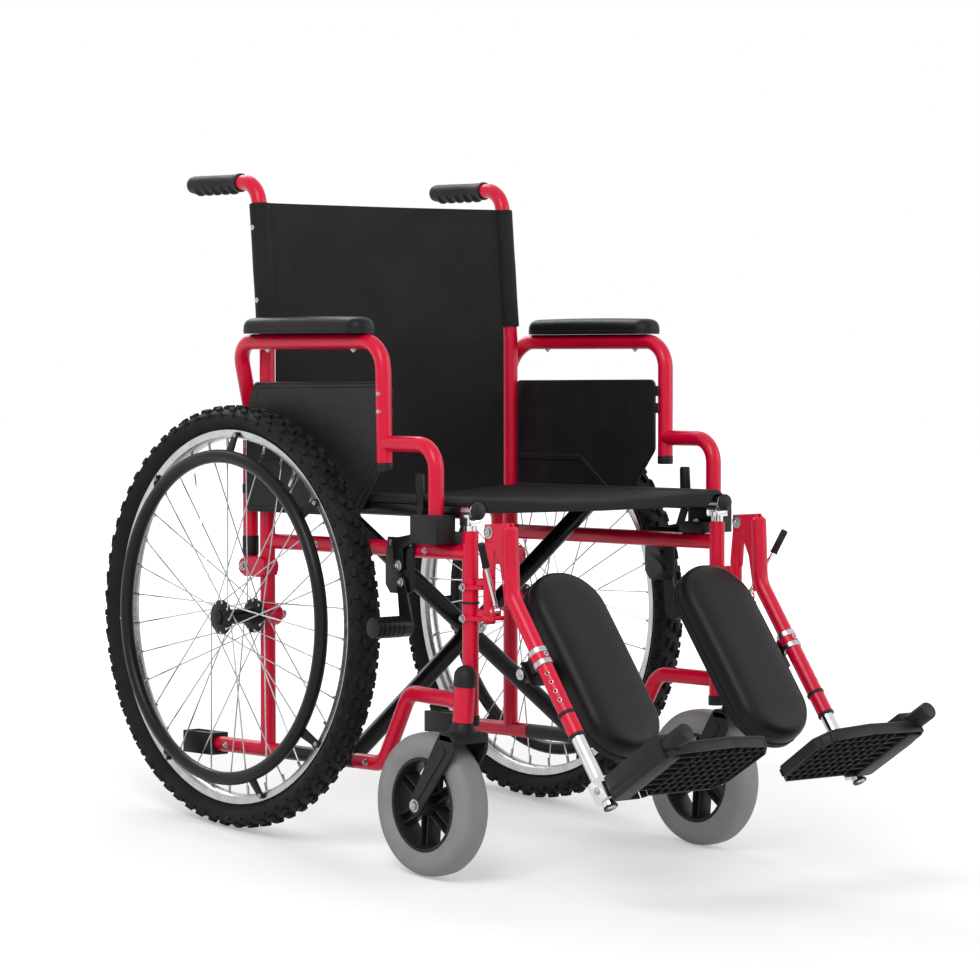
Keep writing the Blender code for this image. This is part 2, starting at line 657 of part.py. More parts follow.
def caster_wheel(name, s, hang):
    """Six-spoke wheel core with its long boss."""
    place = caster_place(s)
    rim = turned([(CASTER_RIM_R, -CASTER_RIM_HALF), (CASTER_SEAT_R, -CASTER_RIM_HALF),
                  (CASTER_SEAT_R, CASTER_RIM_HALF), (CASTER_RIM_R, CASTER_RIM_HALF)],
                 CASTER_STEPS, place, closed=True, phase=ring_phase(CASTER_STEPS))
    reach = FORK_HALF - FORK_T - GAP
    boss = rod((0, 0, -reach), (0, 0, reach), CASTER_BOSS_R, 10, place=place)
    spokes = []
    for k in range(CASTER_SPOKES):
        angle = 2 * pi * k / CASTER_SPOKES
        out = Vector((cos(angle), sin(angle), 0))
        spokes.append(strip(out * (CASTER_BOSS_R - 0.004), out * (CASTER_RIM_R + 0.002), CASTER_SPOKE_WIDE,
                            CASTER_SPOKE_T, (-out.y, out.x, 0), place))
    bore = drill((0, 0, -0.04), (0, 0, 0.04), CASTER_BOLT_R, place=place)
    return finish(name, rim, "black_plastic", spokes + [boss], [bore], pivot=hang)


# Cross brace
BRACE_Y = (-0.1870, -0.1570)
RAIL_BACK_Y = -0.0300
RAIL_FRONT_Y = FRONT_Y - 0.0131
BOLT_R = 0.0050
BOLT_HEAD_R = 0.0090
BOLT_HEAD_H = 0.0045
BOLT_NUT_H = 0.0050
CROSS_Z = (LOWER_Z + RAIL_Z) / 2
END_CAP_PROFILE = ((0, 0.0090), (0.0060, 0.0085), (0.0105, 0.0062), (0.0122, 0.0030), (0.0122, 0), (0, 0))


def cross_brace(name, s, y, hang):
    """Base tube on one lower rail, the diagonal, and the seat rail on the other side."""
    x = s * SIDE_X
    base = rod((x, BRACE_REAR_Y - GAP, LOWER_Z), (x, BRACE_FRONT_Y + GAP, LOWER_Z), TUBE_R, 10)
    diagonal = rod((x, y, LOWER_Z), (-x, y, RAIL_Z), BRACE_R, 10)
    rail = rod((-x, RAIL_BACK_Y, RAIL_Z), (-x, RAIL_FRONT_Y, RAIL_Z), TUBE_R, 10)
    bore = drill((x, BRACE_REAR_Y + 0.01, LOWER_Z), (x, BRACE_FRONT_Y - 0.01, LOWER_Z), SPIGOT_R)
    cross = drill((0, y - 0.03, CROSS_Z), (0, y + 0.03, CROSS_Z), BOLT_R, 8)
    return finish(name, base, "black_paint", [diagonal, rail], [bore, cross], pivot=hang)


def cross_bolt(name):
    """Centre bolt with its head, nut and the spacer between the two diagonals."""
    front = BRACE_Y[0] - BRACE_R - GAP
    back = BRACE_Y[1] + BRACE_R + GAP
    shank = rod((0, front - BOLT_HEAD_H / 2, CROSS_Z), (0, back + BOLT_NUT_H + 0.001, CROSS_Z), BOLT_R, 8)
    head = rod((0, front - BOLT_HEAD_H, CROSS_Z), (0, front, CROSS_Z), BOLT_HEAD_R, 6)
    nut = rod((0, back, CROSS_Z), (0, back + BOLT_NUT_H, CROSS_Z), BOLT_HEAD_R, 6)
    spacer = rod((0, BRACE_Y[0] + BRACE_R + GAP, CROSS_Z), (0, BRACE_Y[1] - BRACE_R - GAP, CROSS_Z),
                 BOLT_HEAD_R, 8)
    return finish(name, shank, "silver", [head, nut, spacer])


def rail_end_cap(name, s, hang):
    """A domed cap on the front end of a seat rail, its plug inside a shallow recess."""
    face = RAIL_FRONT_Y - GAP
    place = FRAME @ Matrix.Translation((s * SIDE_X, face, RAIL_Z)) @ Matrix.Rotation(pi / 2, 4, "X")
    return finish(name, turned(END_CAP_PROFILE, 12, place), "black_plastic", pivot=hang)


# Armrest
ARM_LOW_Z = 0.0550
ARM_BEND_Z = 0.3000
ARM_TOP_Z = 0.3950
ARM_OUT_X = 0.2685
ARM_REAR_Y = 0.0240
ARM_BEND_R = 0.0400
BRANCH_BEND_R = 0.0350
POST_LEAN = 0.0020
ARM_FRONT_Y = -0.3045
POST_X = 0.2665
POST_LOW_Z = 0.2176
BRANCH_Z = 0.2537
BRANCH_X = 0.2628
BRANCH_Y = FRONT_Y + 0.0376
SOCKET_FLOOR_Z = 0.1280
SLEEVE_R = 0.0119
SLEEVE_LOW_Z = 0.0853
SLEEVE_TOP_Z = 0.1140


def arm_frame(name, s, hang):
    """Bent arm tube, its front branch, and the black sleeve above the pivot."""
    main = pipe([(s * ARM_X, ARM_PIVOT_Y, ARM_LOW_Z), (s * ARM_X, ARM_PIVOT_Y, ARM_BEND_Z),
                 (s * ARM_OUT_X, ARM_REAR_Y, ARM_TOP_Z), (s * ARM_OUT_X, ARM_FRONT_Y, ARM_TOP_Z),
                 (s * POST_X, ARM_FRONT_Y - POST_LEAN, POST_LOW_Z)], TUBE_R, bend=ARM_BEND_R, steps=3)
    branch = pipe([(s * POST_X, ARM_FRONT_Y - POST_LEAN, BRANCH_Z), (s * BRANCH_X, BRANCH_Y, BRANCH_Z),
                   (s * BRANCH_X, BRANCH_Y, SOCKET_FLOOR_Z + 0.002)], TUBE_R, bend=BRANCH_BEND_R, steps=3)
    sleeve = rod((s * ARM_X, ARM_PIVOT_Y, SLEEVE_LOW_Z), (s * ARM_X, ARM_PIVOT_Y, SLEEVE_TOP_Z), SLEEVE_R, 12)
    bore = drill((s * (ARM_X - 0.02), ARM_PIVOT_Y, ARM_PIVOT_Z),
                 (s * (ARM_X + 0.02), ARM_PIVOT_Y, ARM_PIVOT_Z), ARM_PIN_R, 8)
    return finish(name, main, "red_paint", [branch, sleeve], [bore], pivot=hang)


def cushion(length, width, thickness, rounding, place, corner=4, crown=0.35):
    """A padded form: a rounded cage, subdivided, then drawn to its true size."""
    bm = bmesh.new()
    bmesh.ops.create_cube(bm, size=1.0)
    bmesh.ops.scale(bm, vec=(width, length, thickness), verts=bm.verts)
    posts = [e for e in bm.edges if abs(e.verts[0].co.z - e.verts[1].co.z) > thickness / 2]
    bmesh.ops.bevel(bm, geom=posts, offset=rounding, segments=corner, affect="EDGES", profile=0.5)
    lid = max(bm.faces, key=lambda f: f.calc_center_median().z)
    bmesh.ops.inset_region(bm, faces=[lid], thickness=width * 0.22, depth=thickness * crown)
    mesh = bpy.data.meshes.new("cage")
    bm.to_mesh(mesh)
    bm.free()
    source = bpy.data.objects.new("cage", mesh)
    soft = source.modifiers.new("soft", "SUBSURF")
    soft.levels = 1
    soft.render_levels = 1
    made = evaluated(source, place)
    spans = []
    for axis, size in enumerate((width, length, thickness)):
        low = min(v.co[axis] for v in made.data.vertices)
        high = max(v.co[axis] for v in made.data.vertices)
        spans.append((low, high, size))
    for v in made.data.vertices:
        for axis, (low, high, size) in enumerate(spans):
            v.co[axis] = (v.co[axis] - low) / (high - low) * size - (size / 2 if axis < 2 else 0)
    return made


PAD_X = 0.2725
PAD_HALF = 0.0230
PAD_Y = 0.0020
PAD_FRONT_Y = -0.2870
PAD_T = 0.0215


def arm_pad(name, s, hang):
    place = FRAME @ Matrix.Translation((s * PAD_X, (PAD_Y + PAD_FRONT_Y) / 2, ARM_TOP_Z + TUBE_R + GAP))
    pad = cushion(PAD_Y - PAD_FRONT_Y, 2 * PAD_HALF, PAD_T, 0.020, place, corner=3, crown=0.30)
    return finish(name, pad, "black_vinyl", pivot=hang, smooth=60)


# Side panel
PANEL_X = 0.2500
PANEL_T = 0.0050
RIB_PROUD = 0.0020
CLIP_H = 0.0150
REAR_CLIPS_Z = (0.1750, 0.2650)
FRONT_CLIPS_Z = (0.2900, 0.3150)
CLIP_REACH = (0.0200, -0.2900)
PANEL_OUTLINE = ((0.0060, 0.3370), (-0.3000, 0.3395), (-0.3000, 0.2356), (-0.2350, 0.1550), (-0.2150, 0.1500),
                 (0.0290, 0.1500), (0.0230, 0.3000))
PANEL_RIB = ((0.0000, 0.2260), (-0.1400, 0.2260), (-0.2200, 0.1660), (-0.2100, 0.1620), (-0.1360, 0.2170),
             (0.0000, 0.2170))


def side_panel(name, s, hang):
    """The moulded guard, with its long rib, hung between the arm tubes."""
    ends = sorted((s * PANEL_X, s * (PANEL_X + PANEL_T)))
    body = plate(PANEL_OUTLINE, ends[0], ends[1])
    rib_ends = sorted((s * (PANEL_X + RIB_PROUD), s * (PANEL_X + PANEL_T + RIB_PROUD)))
    clips = []
    for z in REAR_CLIPS_Z:
        clips.append(spanned(s, ARM_X + TUBE_R + GAP, PANEL_X + PANEL_T - 0.001, CLIP_REACH[0], ARM_PIVOT_Y,
                             z, z + CLIP_H))
    for z in FRONT_CLIPS_Z:
        clips.append(spanned(s, PANEL_X + 0.001, POST_X - TUBE_R - GAP, ARM_FRONT_Y - POST_LEAN,
                             CLIP_REACH[1], z, z + CLIP_H))
    rib = plate(PANEL_RIB, rib_ends[0], rib_ends[1])
    return finish(name, body, "black_plastic", [rib] + clips, pivot=hang)


# Arm socket on the upper rail
SOCKET_IN = 0.2455
SOCKET_OUT = 0.2800
SOCKET_TOP_Z = 0.1580
SOCKET_BACK_Y = BRANCH_Y + 0.0354
SOCKET_FRONT_Y = BRANCH_Y - 0.0201
SOCKET_FOOT_IN = 0.2240
SOCKET_LOW_Z = 0.1190
SOCKET_FOOT_H = 0.0160


def arm_socket(name, s):
    """A block bolted on the upper rail; its slot opens to the back for the arm tube."""
    seat_z = UPPER_Z + TUBE_R + GAP
    block = spanned(s, SOCKET_IN, SOCKET_OUT, SOCKET_FRONT_Y, SOCKET_BACK_Y, SOCKET_LOW_Z, SOCKET_TOP_Z)
    foot = spanned(s, SOCKET_FOOT_IN, SOCKET_IN + 0.002, SOCKET_FRONT_Y + 0.004, SOCKET_BACK_Y - 0.004,
                   seat_z, seat_z + SOCKET_FOOT_H)
    bore = drill((s * BRANCH_X, BRANCH_Y, SOCKET_FLOOR_Z),
                 (s * BRANCH_X, BRANCH_Y, SOCKET_TOP_Z + 0.01), TUBE_R)
    way = TUBE_R + GAP
    slot = spanned(s, BRANCH_X - way, BRANCH_X + way, BRANCH_Y, SOCKET_BACK_Y + 0.01, SOCKET_FLOOR_Z,
                   SOCKET_TOP_Z + 0.01)
    return finish(name, block, "black_plastic", [foot], [bore, slot])


# Parking brake
SHOE_ROOM = 0.0315         # shoe axis ahead of the tyre, brake off
SHOE = (-TYRE_R - SHOE_ROOM, 0.0020)
SHOE_PIVOT = (SHOE[0] + 0.0120, 0.0620)
BRAKE_PIVOT = (SHOE[0] + 0.0170, 0.0850)
BRAKE_PLATE_IN = 0.2455
BRAKE_PLATE_OUT = 0.2485
LEVER_IN = 0.2505
LEVER_T = 0.0040
SHOE_R = 0.0150
SHOE_EYE_R = 0.0085
SHOE_OUT = 0.3140
BRAKE_PIN_R = 0.0040
BRAKE_PIN_INNER = 0.0020
BRAKE_PIN_OUTER = 0.0024
BRACKET_OUTLINE = ((0.0300, 0.1240), (-0.0260, 0.1240), (-0.0260, 0.0520), (-0.0130, 0.0460),
                   (0.0250, 0.0460), (0.0350, 0.0580), (0.0350, 0.0900))
BRACKET_PAD = (-0.0200, 0.0240, 0.0040)
CRANK_OUTLINE = ((0.0090, 0.0800), (0.0150, 0.1220), (-0.0260, 0.1290), (-0.0410, 0.1650),
                 (-0.0360, 0.2126), (-0.0510, 0.2126), (-0.0545, 0.1650), (-0.0360, 0.1190),
                 (-0.0090, 0.1090), (-0.0090, 0.0800), (0.0000, 0.0750))


def brake_bracket(name, s):
    """A plate clamped to the outer side of the upper rail, with both pivot pins."""
    outline = [(BRAKE_PIVOT[0] + y, z) for y, z in BRACKET_OUTLINE]
    ends = sorted((s * BRAKE_PLATE_IN, s * BRAKE_PLATE_OUT))
    body = plate(outline, ends[0], ends[1])
    seat = SIDE_X + TUBE_R + GAP
    pad_ends = sorted((s * seat, s * (BRAKE_PLATE_IN + 0.0010)))
    back, front, half = BRACKET_PAD
    pad = box((pad_ends[0], BRAKE_PIVOT[0] + back, UPPER_Z - half),
              (pad_ends[1], BRAKE_PIVOT[0] + front, UPPER_Z + half))
    add = [pad]
    for y, z in (BRAKE_PIVOT, SHOE_PIVOT):
        add.append(rod((s * (BRAKE_PLATE_IN - BRAKE_PIN_INNER), y, z),
                       (s * (LEVER_IN + LEVER_T + BRAKE_PIN_OUTER), y, z), BRAKE_PIN_R, 8))
    return finish(name, body, "black_plastic", add)


def brake_lever(name, s, hang):
    """The cranked hand lever on the upper pivot."""
    y, z = BRAKE_PIVOT
    ends = sorted((s * LEVER_IN, s * (LEVER_IN + LEVER_T)))
    crank = [(y + dy, dz) for dy, dz in CRANK_OUTLINE]
    body = plate(crank, ends[0], ends[1])
    bore = drill((s * (LEVER_IN - 0.01), y, z), (s * (LEVER_IN + LEVER_T + 0.01), y, z), BRAKE_PIN_R, 8)
    return finish(name, body, "black_plastic", [], [bore], pivot=hang)


def brake_shoe(name, s, hang):
    """The arm on the lower pivot and the round shoe that presses on the tyre."""
    y, z = SHOE_PIVOT
    ends = sorted((s * LEVER_IN, s * (LEVER_IN + LEVER_T)))
    arm = plate(belt((y, z), SHOE_EYE_R, SHOE, SHOE_R - 0.0010, 5), ends[0], ends[1])
    roll = rod((s * LEVER_IN, *SHOE), (s * SHOE_OUT, *SHOE), SHOE_R)
    bore = drill((s * (LEVER_IN - 0.01), y, z), (s * (LEVER_IN + LEVER_T + 0.01), y, z), BRAKE_PIN_R, 8)
    return finish(name, arm, "black_paint", [roll], [bore], pivot=hang)


# Legrest: hanger, knee and leg. The leg's own axes are x, its forward normal and down the tube
LEG_X = 0.2345
LEG_ELBOW = (FRONT_Y - 0.0875, 0.0480)
LEG_END = (FRONT_Y - 0.2181, -0.1280)
HANGER_Y = FRONT_Y - 0.0393
HANGER_R = 0.0085
HANGER_Z = (0.0120, 0.0850)
EYE_R = 0.0074
EYE_H = 0.0090
KNEE = (FRONT_Y - 0.0450, 0.1368)
KNEE_R = 0.0100
KNEE_BOLT_R = 0.0045
KNEE_BOLT_PROUD = 0.0035
EAR_ROOT_Z = 0.0790
EAR_ROOT_R = 0.0110
KNEE_EAR_HALF = 0.0030
CHEEK_T = 0.0024
RELEASE_X = 0.2400
RELEASE_PIVOT = (FRONT_Y - 0.0585, 0.0310)
RELEASE_BARREL_R = 0.0048
RELEASE_PIN_R = 0.0024
RELEASE_PIN_REACH = 0.0078
LUG_REACH = 0.0070
LUG_T = 0.0020
LUG_HALF = 0.0050
LUG_LOW_Z = 0.0230
RELEASE_STEM_R = 0.0032
RELEASE_GRIP_R = 0.0052
RELEASE_ELBOW = (0.2440, FRONT_Y - 0.0625, 0.0430)
RELEASE_GRIP = ((0.2717, FRONT_Y - 0.0764, 0.0922), (0.2870, FRONT_Y - 0.0841, 0.1244))
LEG_L = Vector((LEG_END[0] - LEG_ELBOW[0], LEG_END[1] - LEG_ELBOW[1])).length
EXT_R = 0.0095
EXT_IN = 0.0750
EXT_TRAVEL_IN = 0.0150
EXT_END = 0.3294
CHANNEL_SIDE = ((-0.0365, 0.1470), (-0.0835, 0.1500), (-0.0905, 0.1400), (-0.0980, 0.0500),
                (-0.0785, 0.0380), (-0.0685, 0.0900), (-0.0515, 0.1235), (-0.0365, 0.1265))
CHANNEL_WEB = ((FRONT_Y - 0.0830, 0.1485), (FRONT_Y - 0.0940, 0.0460), 0.0100)
LEVER_BASE = (0.2285, 0.2490, FRONT_Y - 0.0655, 0.0180, 0.0240)


def leg_place(s):
    """The leg's placement: Y is its forward normal and Z runs down the tube."""
    down = Vector((0, LEG_END[0] - LEG_ELBOW[0], LEG_END[1] - LEG_ELBOW[1])).normalized()
    side = Vector((1, 0, 0))
    normal = down.cross(side)
    turn = Matrix((side, normal, down)).transposed().to_4x4()
    return FRAME @ Matrix.Translation((s * LEG_X, *LEG_ELBOW)) @ turn


def legrest_hanger(name, s, hang):
    """Upright with two eyes on the frame's pins, the knee ear with its bolt, the lever's base."""
    x = s * SIDE_X
    post = rod((x, HANGER_Y, HANGER_Z[0]), (x, HANGER_Y, HANGER_Z[1]), HANGER_R, 10)
    add = []
    cut = []
    for z in CLAMP_Z:
        low = z + CLAMP_H / 2 + GAP
        outline = belt((x, HANGER_Y), HANGER_R - 0.0008, (x, SWING_Y), EYE_R, 4)
        add.append(plate(outline, low, low + EYE_H, plane="XY"))
        cut.append(drill((x, SWING_Y, low - 0.005), (x, SWING_Y, low + 0.015), SWING_PIN_R, 8))
    ear = sorted((s * (LEG_X - KNEE_EAR_HALF), s * (LEG_X + KNEE_EAR_HALF)))
    add.append(plate(belt((HANGER_Y, EAR_ROOT_Z), EAR_ROOT_R, KNEE, KNEE_R, 5), ear[0], ear[1]))
    reach = KNEE_EAR_HALF + CHEEK_T + KNEE_BOLT_PROUD
    add.append(rod((s * (LEG_X - reach), *KNEE), (s * (LEG_X + reach), *KNEE), KNEE_BOLT_R, 8))
    add.append(spanned(s, *LEVER_BASE[:3], HANGER_Y, *LEVER_BASE[3:]))
    for low in (RELEASE_X - LUG_REACH, RELEASE_X + LUG_REACH - LUG_T):
        add.append(spanned(s, low, low + LUG_T, RELEASE_PIVOT[0] - LUG_HALF, RELEASE_PIVOT[0] + LUG_HALF,
                           LUG_LOW_Z, RELEASE_PIVOT[1] + LUG_HALF))
    add.append(rod((s * (RELEASE_X - RELEASE_PIN_REACH), *RELEASE_PIVOT),
                   (s * (RELEASE_X + RELEASE_PIN_REACH), *RELEASE_PIVOT), RELEASE_PIN_R, 8))
    return finish(name, post, "red_paint", add, cut, pivot=hang)


def legrest_tube(name, s, hang):
    """Two cheeks on the knee bolt, the channel's front web, and the bored lower tube."""
    place = leg_place(s)
    tube = rod((0, 0, -0.0100), (0, 0, LEG_L), TUBE_R, 12, place=place)
    inner = LEG_X - KNEE_EAR_HALF - GAP - CHEEK_T
    outer = LEG_X + KNEE_EAR_HALF + GAP
    add = []
    for low in (inner, outer):
        ends = sorted((s * low, s * (low + CHEEK_T)))
        add.append(plate([(FRONT_Y + y, z) for y, z in CHANNEL_SIDE], ends[0], ends[1]))
    top, foot, deep = CHANNEL_WEB
    add.append(strip((s * LEG_X, *top), (s * LEG_X, *foot), outer + CHEEK_T - inner, deep, (1, 0, 0)))
    bore = drill((0, 0, LEG_L - EXT_IN - EXT_TRAVEL_IN - 0.002), (0, 0, LEG_L + 0.01), EXT_R, 12, place)
    knee = drill((s * (inner - 0.01), *KNEE), (s * (outer + 0.02), *KNEE), KNEE_BOLT_R, 8)
    return finish(name, tube, "red_paint", add, [bore, knee], pivot=hang)


def release_lever(name, s, hang):
    """Cranked lever with a sleeve grip, on the pin beside the hanger."""
    y, z = RELEASE_PIVOT
    low, high = [Vector((s * spot[0], *spot[1:])) for spot in RELEASE_GRIP]
    barrel = rod((s * (RELEASE_X - 0.0047), y, z), (s * (RELEASE_X + 0.0047), y, z), RELEASE_BARREL_R, 10)
    stem = pipe([(s * RELEASE_X, y - 0.0006, z + 0.0035), (s * RELEASE_ELBOW[0], *RELEASE_ELBOW[1:]), low,
                 low.lerp(high, 0.41)], RELEASE_STEM_R, bend=0.02, steps=2, sides=2)
    grip = rod(low, high, RELEASE_GRIP_R, 8)
    bore = drill((s * (RELEASE_X - 0.01), y, z), (s * (RELEASE_X + 0.01), y, z), RELEASE_PIN_R, 8)
    return finish(name, barrel, "chrome", [stem, grip], [bore], pivot=hang)


# Calf pad and its bracket, in leg axes
CALF_X = 0.1408
CALF_T0 = 0.1060
CALF_LONG = 0.2900
CALF_WIDE = 0.1250
CALF_THICK = 0.0420
CALF_BACK = -0.0250
BRACKET_R = 0.0138
BRACKET_T = (0.0830, 0.1090)
WEB_HALF = 0.0040
WEB_DEEP = 0.0180
WEB_FRONT_Y = -0.0125
BAR_T = 0.0040
BAR_INNER = 0.0100
BAR_PAST_PAD = 0.0250
BAR_ABOVE = 0.0120
KNOB_BEHIND = 0.0120
KNOB_END = 0.0105
KNOB_R = 0.0070


def calf_pad(name, s, hang):
    place = (leg_place(s) @ Matrix.Translation((s * (CALF_X - LEG_X), CALF_BACK, CALF_T0))
             @ Matrix.Rotation(-pi / 2, 4, "X"))
    pad = cushion(CALF_LONG, CALF_WIDE, CALF_THICK, CALF_WIDE * 0.49, place, corner=5, crown=0.25)
    return finish(name, pad, "black_vinyl", pivot=hang, smooth=60)


def calf_bracket(name, s, hang):
    """Clamp ring on the leg tube and the bar behind the pad."""
    place = leg_place(s)
    bore = (TUBE_R + GAP) / cos(pi / 12)
    low, high = BRACKET_T
    ring = turned([(bore, low), (BRACKET_R, low), (BRACKET_R, high), (bore, high)], 12, place, closed=True)
    back = CALF_BACK - GAP
    web = spanned(s, -WEB_HALF, WEB_HALF, back - WEB_DEEP, WEB_FRONT_Y, low + 0.002, high - 0.002, place)
    bar = spanned(s, CALF_X - LEG_X - BAR_PAST_PAD, BAR_INNER, back - BAR_T, back, low, high + BAR_ABOVE,
                  place)
    knob_y = back - KNOB_BEHIND
    middle = (low + high) / 2
    bolt = rod((s * 0.0030, knob_y, middle), (s * KNOB_END, knob_y, middle), KNOB_R, 8, place=place)
    return finish(name, ring, "black_paint", [web, bar, bolt], pivot=hang)


# Footplate, in leg axes turned down by its own tilt about the clamp
FOOT_X = 0.2280
FOOT_AXIS_T = 0.3090
FOOT_TILT = radians(4.0)
FOOT_PIN_R = 0.0060
CLAMP_FRONT = 0.0145
FOOT_BLOCK_Y = (0.0162, 0.1350)
FOOT_BLOCK_HALF = 0.0150
FOOT_BLOCK_H = 0.0180
PLATE_TOP = 0.0020
ROLLER_R = 0.0125
ROLLER_END = 0.1750
PIN_REST = 0.0100
CLAMP_X = (-0.0140, 0.0125)
CLAMP_BACK = -0.0115
CLAMP_T = (0.2870, 0.3200)
FOOT_PLAN = ((0.2440, 0.0160), (0.1950, 0.0160), (0.1850, 0.0225), (0.0700, 0.0225), (0.0520, 0.0420),
             (0.0470, 0.1200), (0.0650, 0.1450), (0.1300, 0.1530), (0.2350, 0.1480), (0.2440, 0.1100))


def foot_place(s):
    return (leg_place(s) @ Matrix.Translation((s * (FOOT_X - LEG_X), 0, FOOT_AXIS_T))
            @ Matrix.Rotation(FOOT_TILT, 4, "X"))


def extension_tube(name, s, hang):
    """The chrome slider with its end cap, the clamp block and the footplate's pin."""
    place = leg_place(s)
    tube = rod((0, 0, LEG_L - EXT_IN), (0, 0, EXT_END), EXT_R, place=place)
    clamp = spanned(s, *CLAMP_X, CLAMP_BACK, CLAMP_FRONT, *CLAMP_T, place)
    pin = rod((0, 0.005, 0), (0, FOOT_BLOCK_Y[1] - PIN_REST, 0), FOOT_PIN_R, 8, place=foot_place(s))
    return finish(name, tube, "chrome", [clamp, pin], pivot=hang)


def footplate(name, s, hang):
    """Platform, its hinge housing round the pin, and the round nose in front."""
    place = foot_place(s)
    block = box((-FOOT_BLOCK_HALF, FOOT_BLOCK_Y[0], -FOOT_BLOCK_H),
                (FOOT_BLOCK_HALF, FOOT_BLOCK_Y[1], FOOT_BLOCK_H), place)
    outline = [(s * (a - FOOT_X), b) for a, b in FOOT_PLAN]
    deck = plate(outline, PLATE_TOP, FOOT_BLOCK_H, place, plane="XY")
    nose = rod((0, FOOT_BLOCK_Y[1] - 0.005, 0), (0, ROLLER_END, 0), ROLLER_R, 12, place=place)
    bore = drill((0, 0, 0), (0, FOOT_BLOCK_Y[1] - PIN_REST + GAP, 0), FOOT_PIN_R, 8, place)
    return finish(name, block, "black_plastic", [deck, nose], [bore], pivot=hang)


# Slings
SEAT_Y = (FRONT_Y - 0.0105, -0.0300)
SEAT_LOW_Z = RAIL_Z + TUBE_R + GAP
SEAT_UNDER = ((0.2180, SEAT_LOW_Z), (0.2080, 0.1645), (0.1700, 0.1605), (0.0900, 0.1585))
SEAT_OVER = ((0.0000, 0.1730), (0.0900, 0.1745), (0.1700, 0.1790), (0.2080, 0.1835), (0.2300, 0.1855),
             (0.2420, 0.1825))
SEAT_EDGE_Z = 0.1780
SEAT_MIDDLE_Z = 0.1580
BACK_LOW_Z = 0.1500
SLEEVE_FROM_Z = 0.4180
BACK_TOP_Z = 0.5960
BACK_T = 0.0060
BACK_SAG = 0.0180
SLING_SLEEVE_R = 0.0146
SLEEVE_PROUD = 0.0006
BACK_STEPS = 8


def seat_sling(name, hang):
    """Padded seat fabric over both rails, sagging between them."""
    edge = SIDE_X + TUBE_R
    under = [(edge, SEAT_LOW_Z), *SEAT_UNDER]
    over = [*SEAT_OVER, (edge, SEAT_EDGE_Z)]
    outline = [(-a, b) for a, b in under] + [(0.0, SEAT_MIDDLE_Z)] + [(a, b) for a, b in reversed(under)]
    outline += [(a, b) for a, b in reversed(over)] + [(-a, b) for a, b in over[1:]]
    cloth = plate(outline, SEAT_Y[0], SEAT_Y[1], plane="XZ")
    round_off = cloth.modifiers.new("edges", "BEVEL")
    round_off.width = 0.0030
    round_off.segments = 1
    round_off.limit_method = "ANGLE"
    round_off.angle_limit = radians(50)
    return finish(name, cloth, "black_vinyl", pivot=hang, smooth=60)


def back_sling(name, hang):
    """Back fabric hanging between the canes, sewn into a sleeve round each of them."""
    rise = Vector((CANE_TOP_Y - REAR_Y, GRIP_Z - CANE_BEND_Z))
    lean = Matrix.Rotation(-Vector((0, 1)).angle(rise), 4, "X")
    upper_place = FRAME @ Matrix.Translation((0, REAR_Y, CANE_BEND_Z)) @ lean

    def sheet(half, low, high, place, ahead):
        steps = BACK_STEPS
        line = [(half * (2 * k / steps - 1), BACK_SAG * (1 - (2 * k / steps - 1) ** 2) + ahead)
                for k in range(steps + 1)]
        outline = line + [(a, b + BACK_T) for a, b in reversed(line)]
        return plate(outline, low, high, place, plane="XY")

    tall = BACK_TOP_Z - CANE_BEND_Z
    lower = sheet(SIDE_X - 0.0155, BACK_LOW_Z, CANE_BEND_Z + 0.003, FRAME, REAR_Y - BACK_T / 2)
    upper = sheet(SIDE_X, -0.0050, tall, upper_place, -BACK_T / 2)
    sleeves = []
    bores = []
    for s in (-1, 1):
        base = SLEEVE_FROM_Z - CANE_BEND_Z
        sleeves.append(rod((s * SIDE_X, 0, base), (s * SIDE_X, 0, tall + SLEEVE_PROUD), SLING_SLEEVE_R, 12,
                           place=upper_place))
        bores.append(drill((s * SIDE_X, 0, -0.03), (s * SIDE_X, 0, tall + 0.01), TUBE_R + GAP, 12,
                           upper_place))
    return finish(name, lower, "black_vinyl", [upper] + sleeves, bores, pivot=hang, smooth=60)


def hang_on(piece, pivot):
    """Parents a finished piece to an empty without moving it."""
    piece.parent = pivot
    piece.matrix_parent_inverse = pivot.matrix_world.inverted()


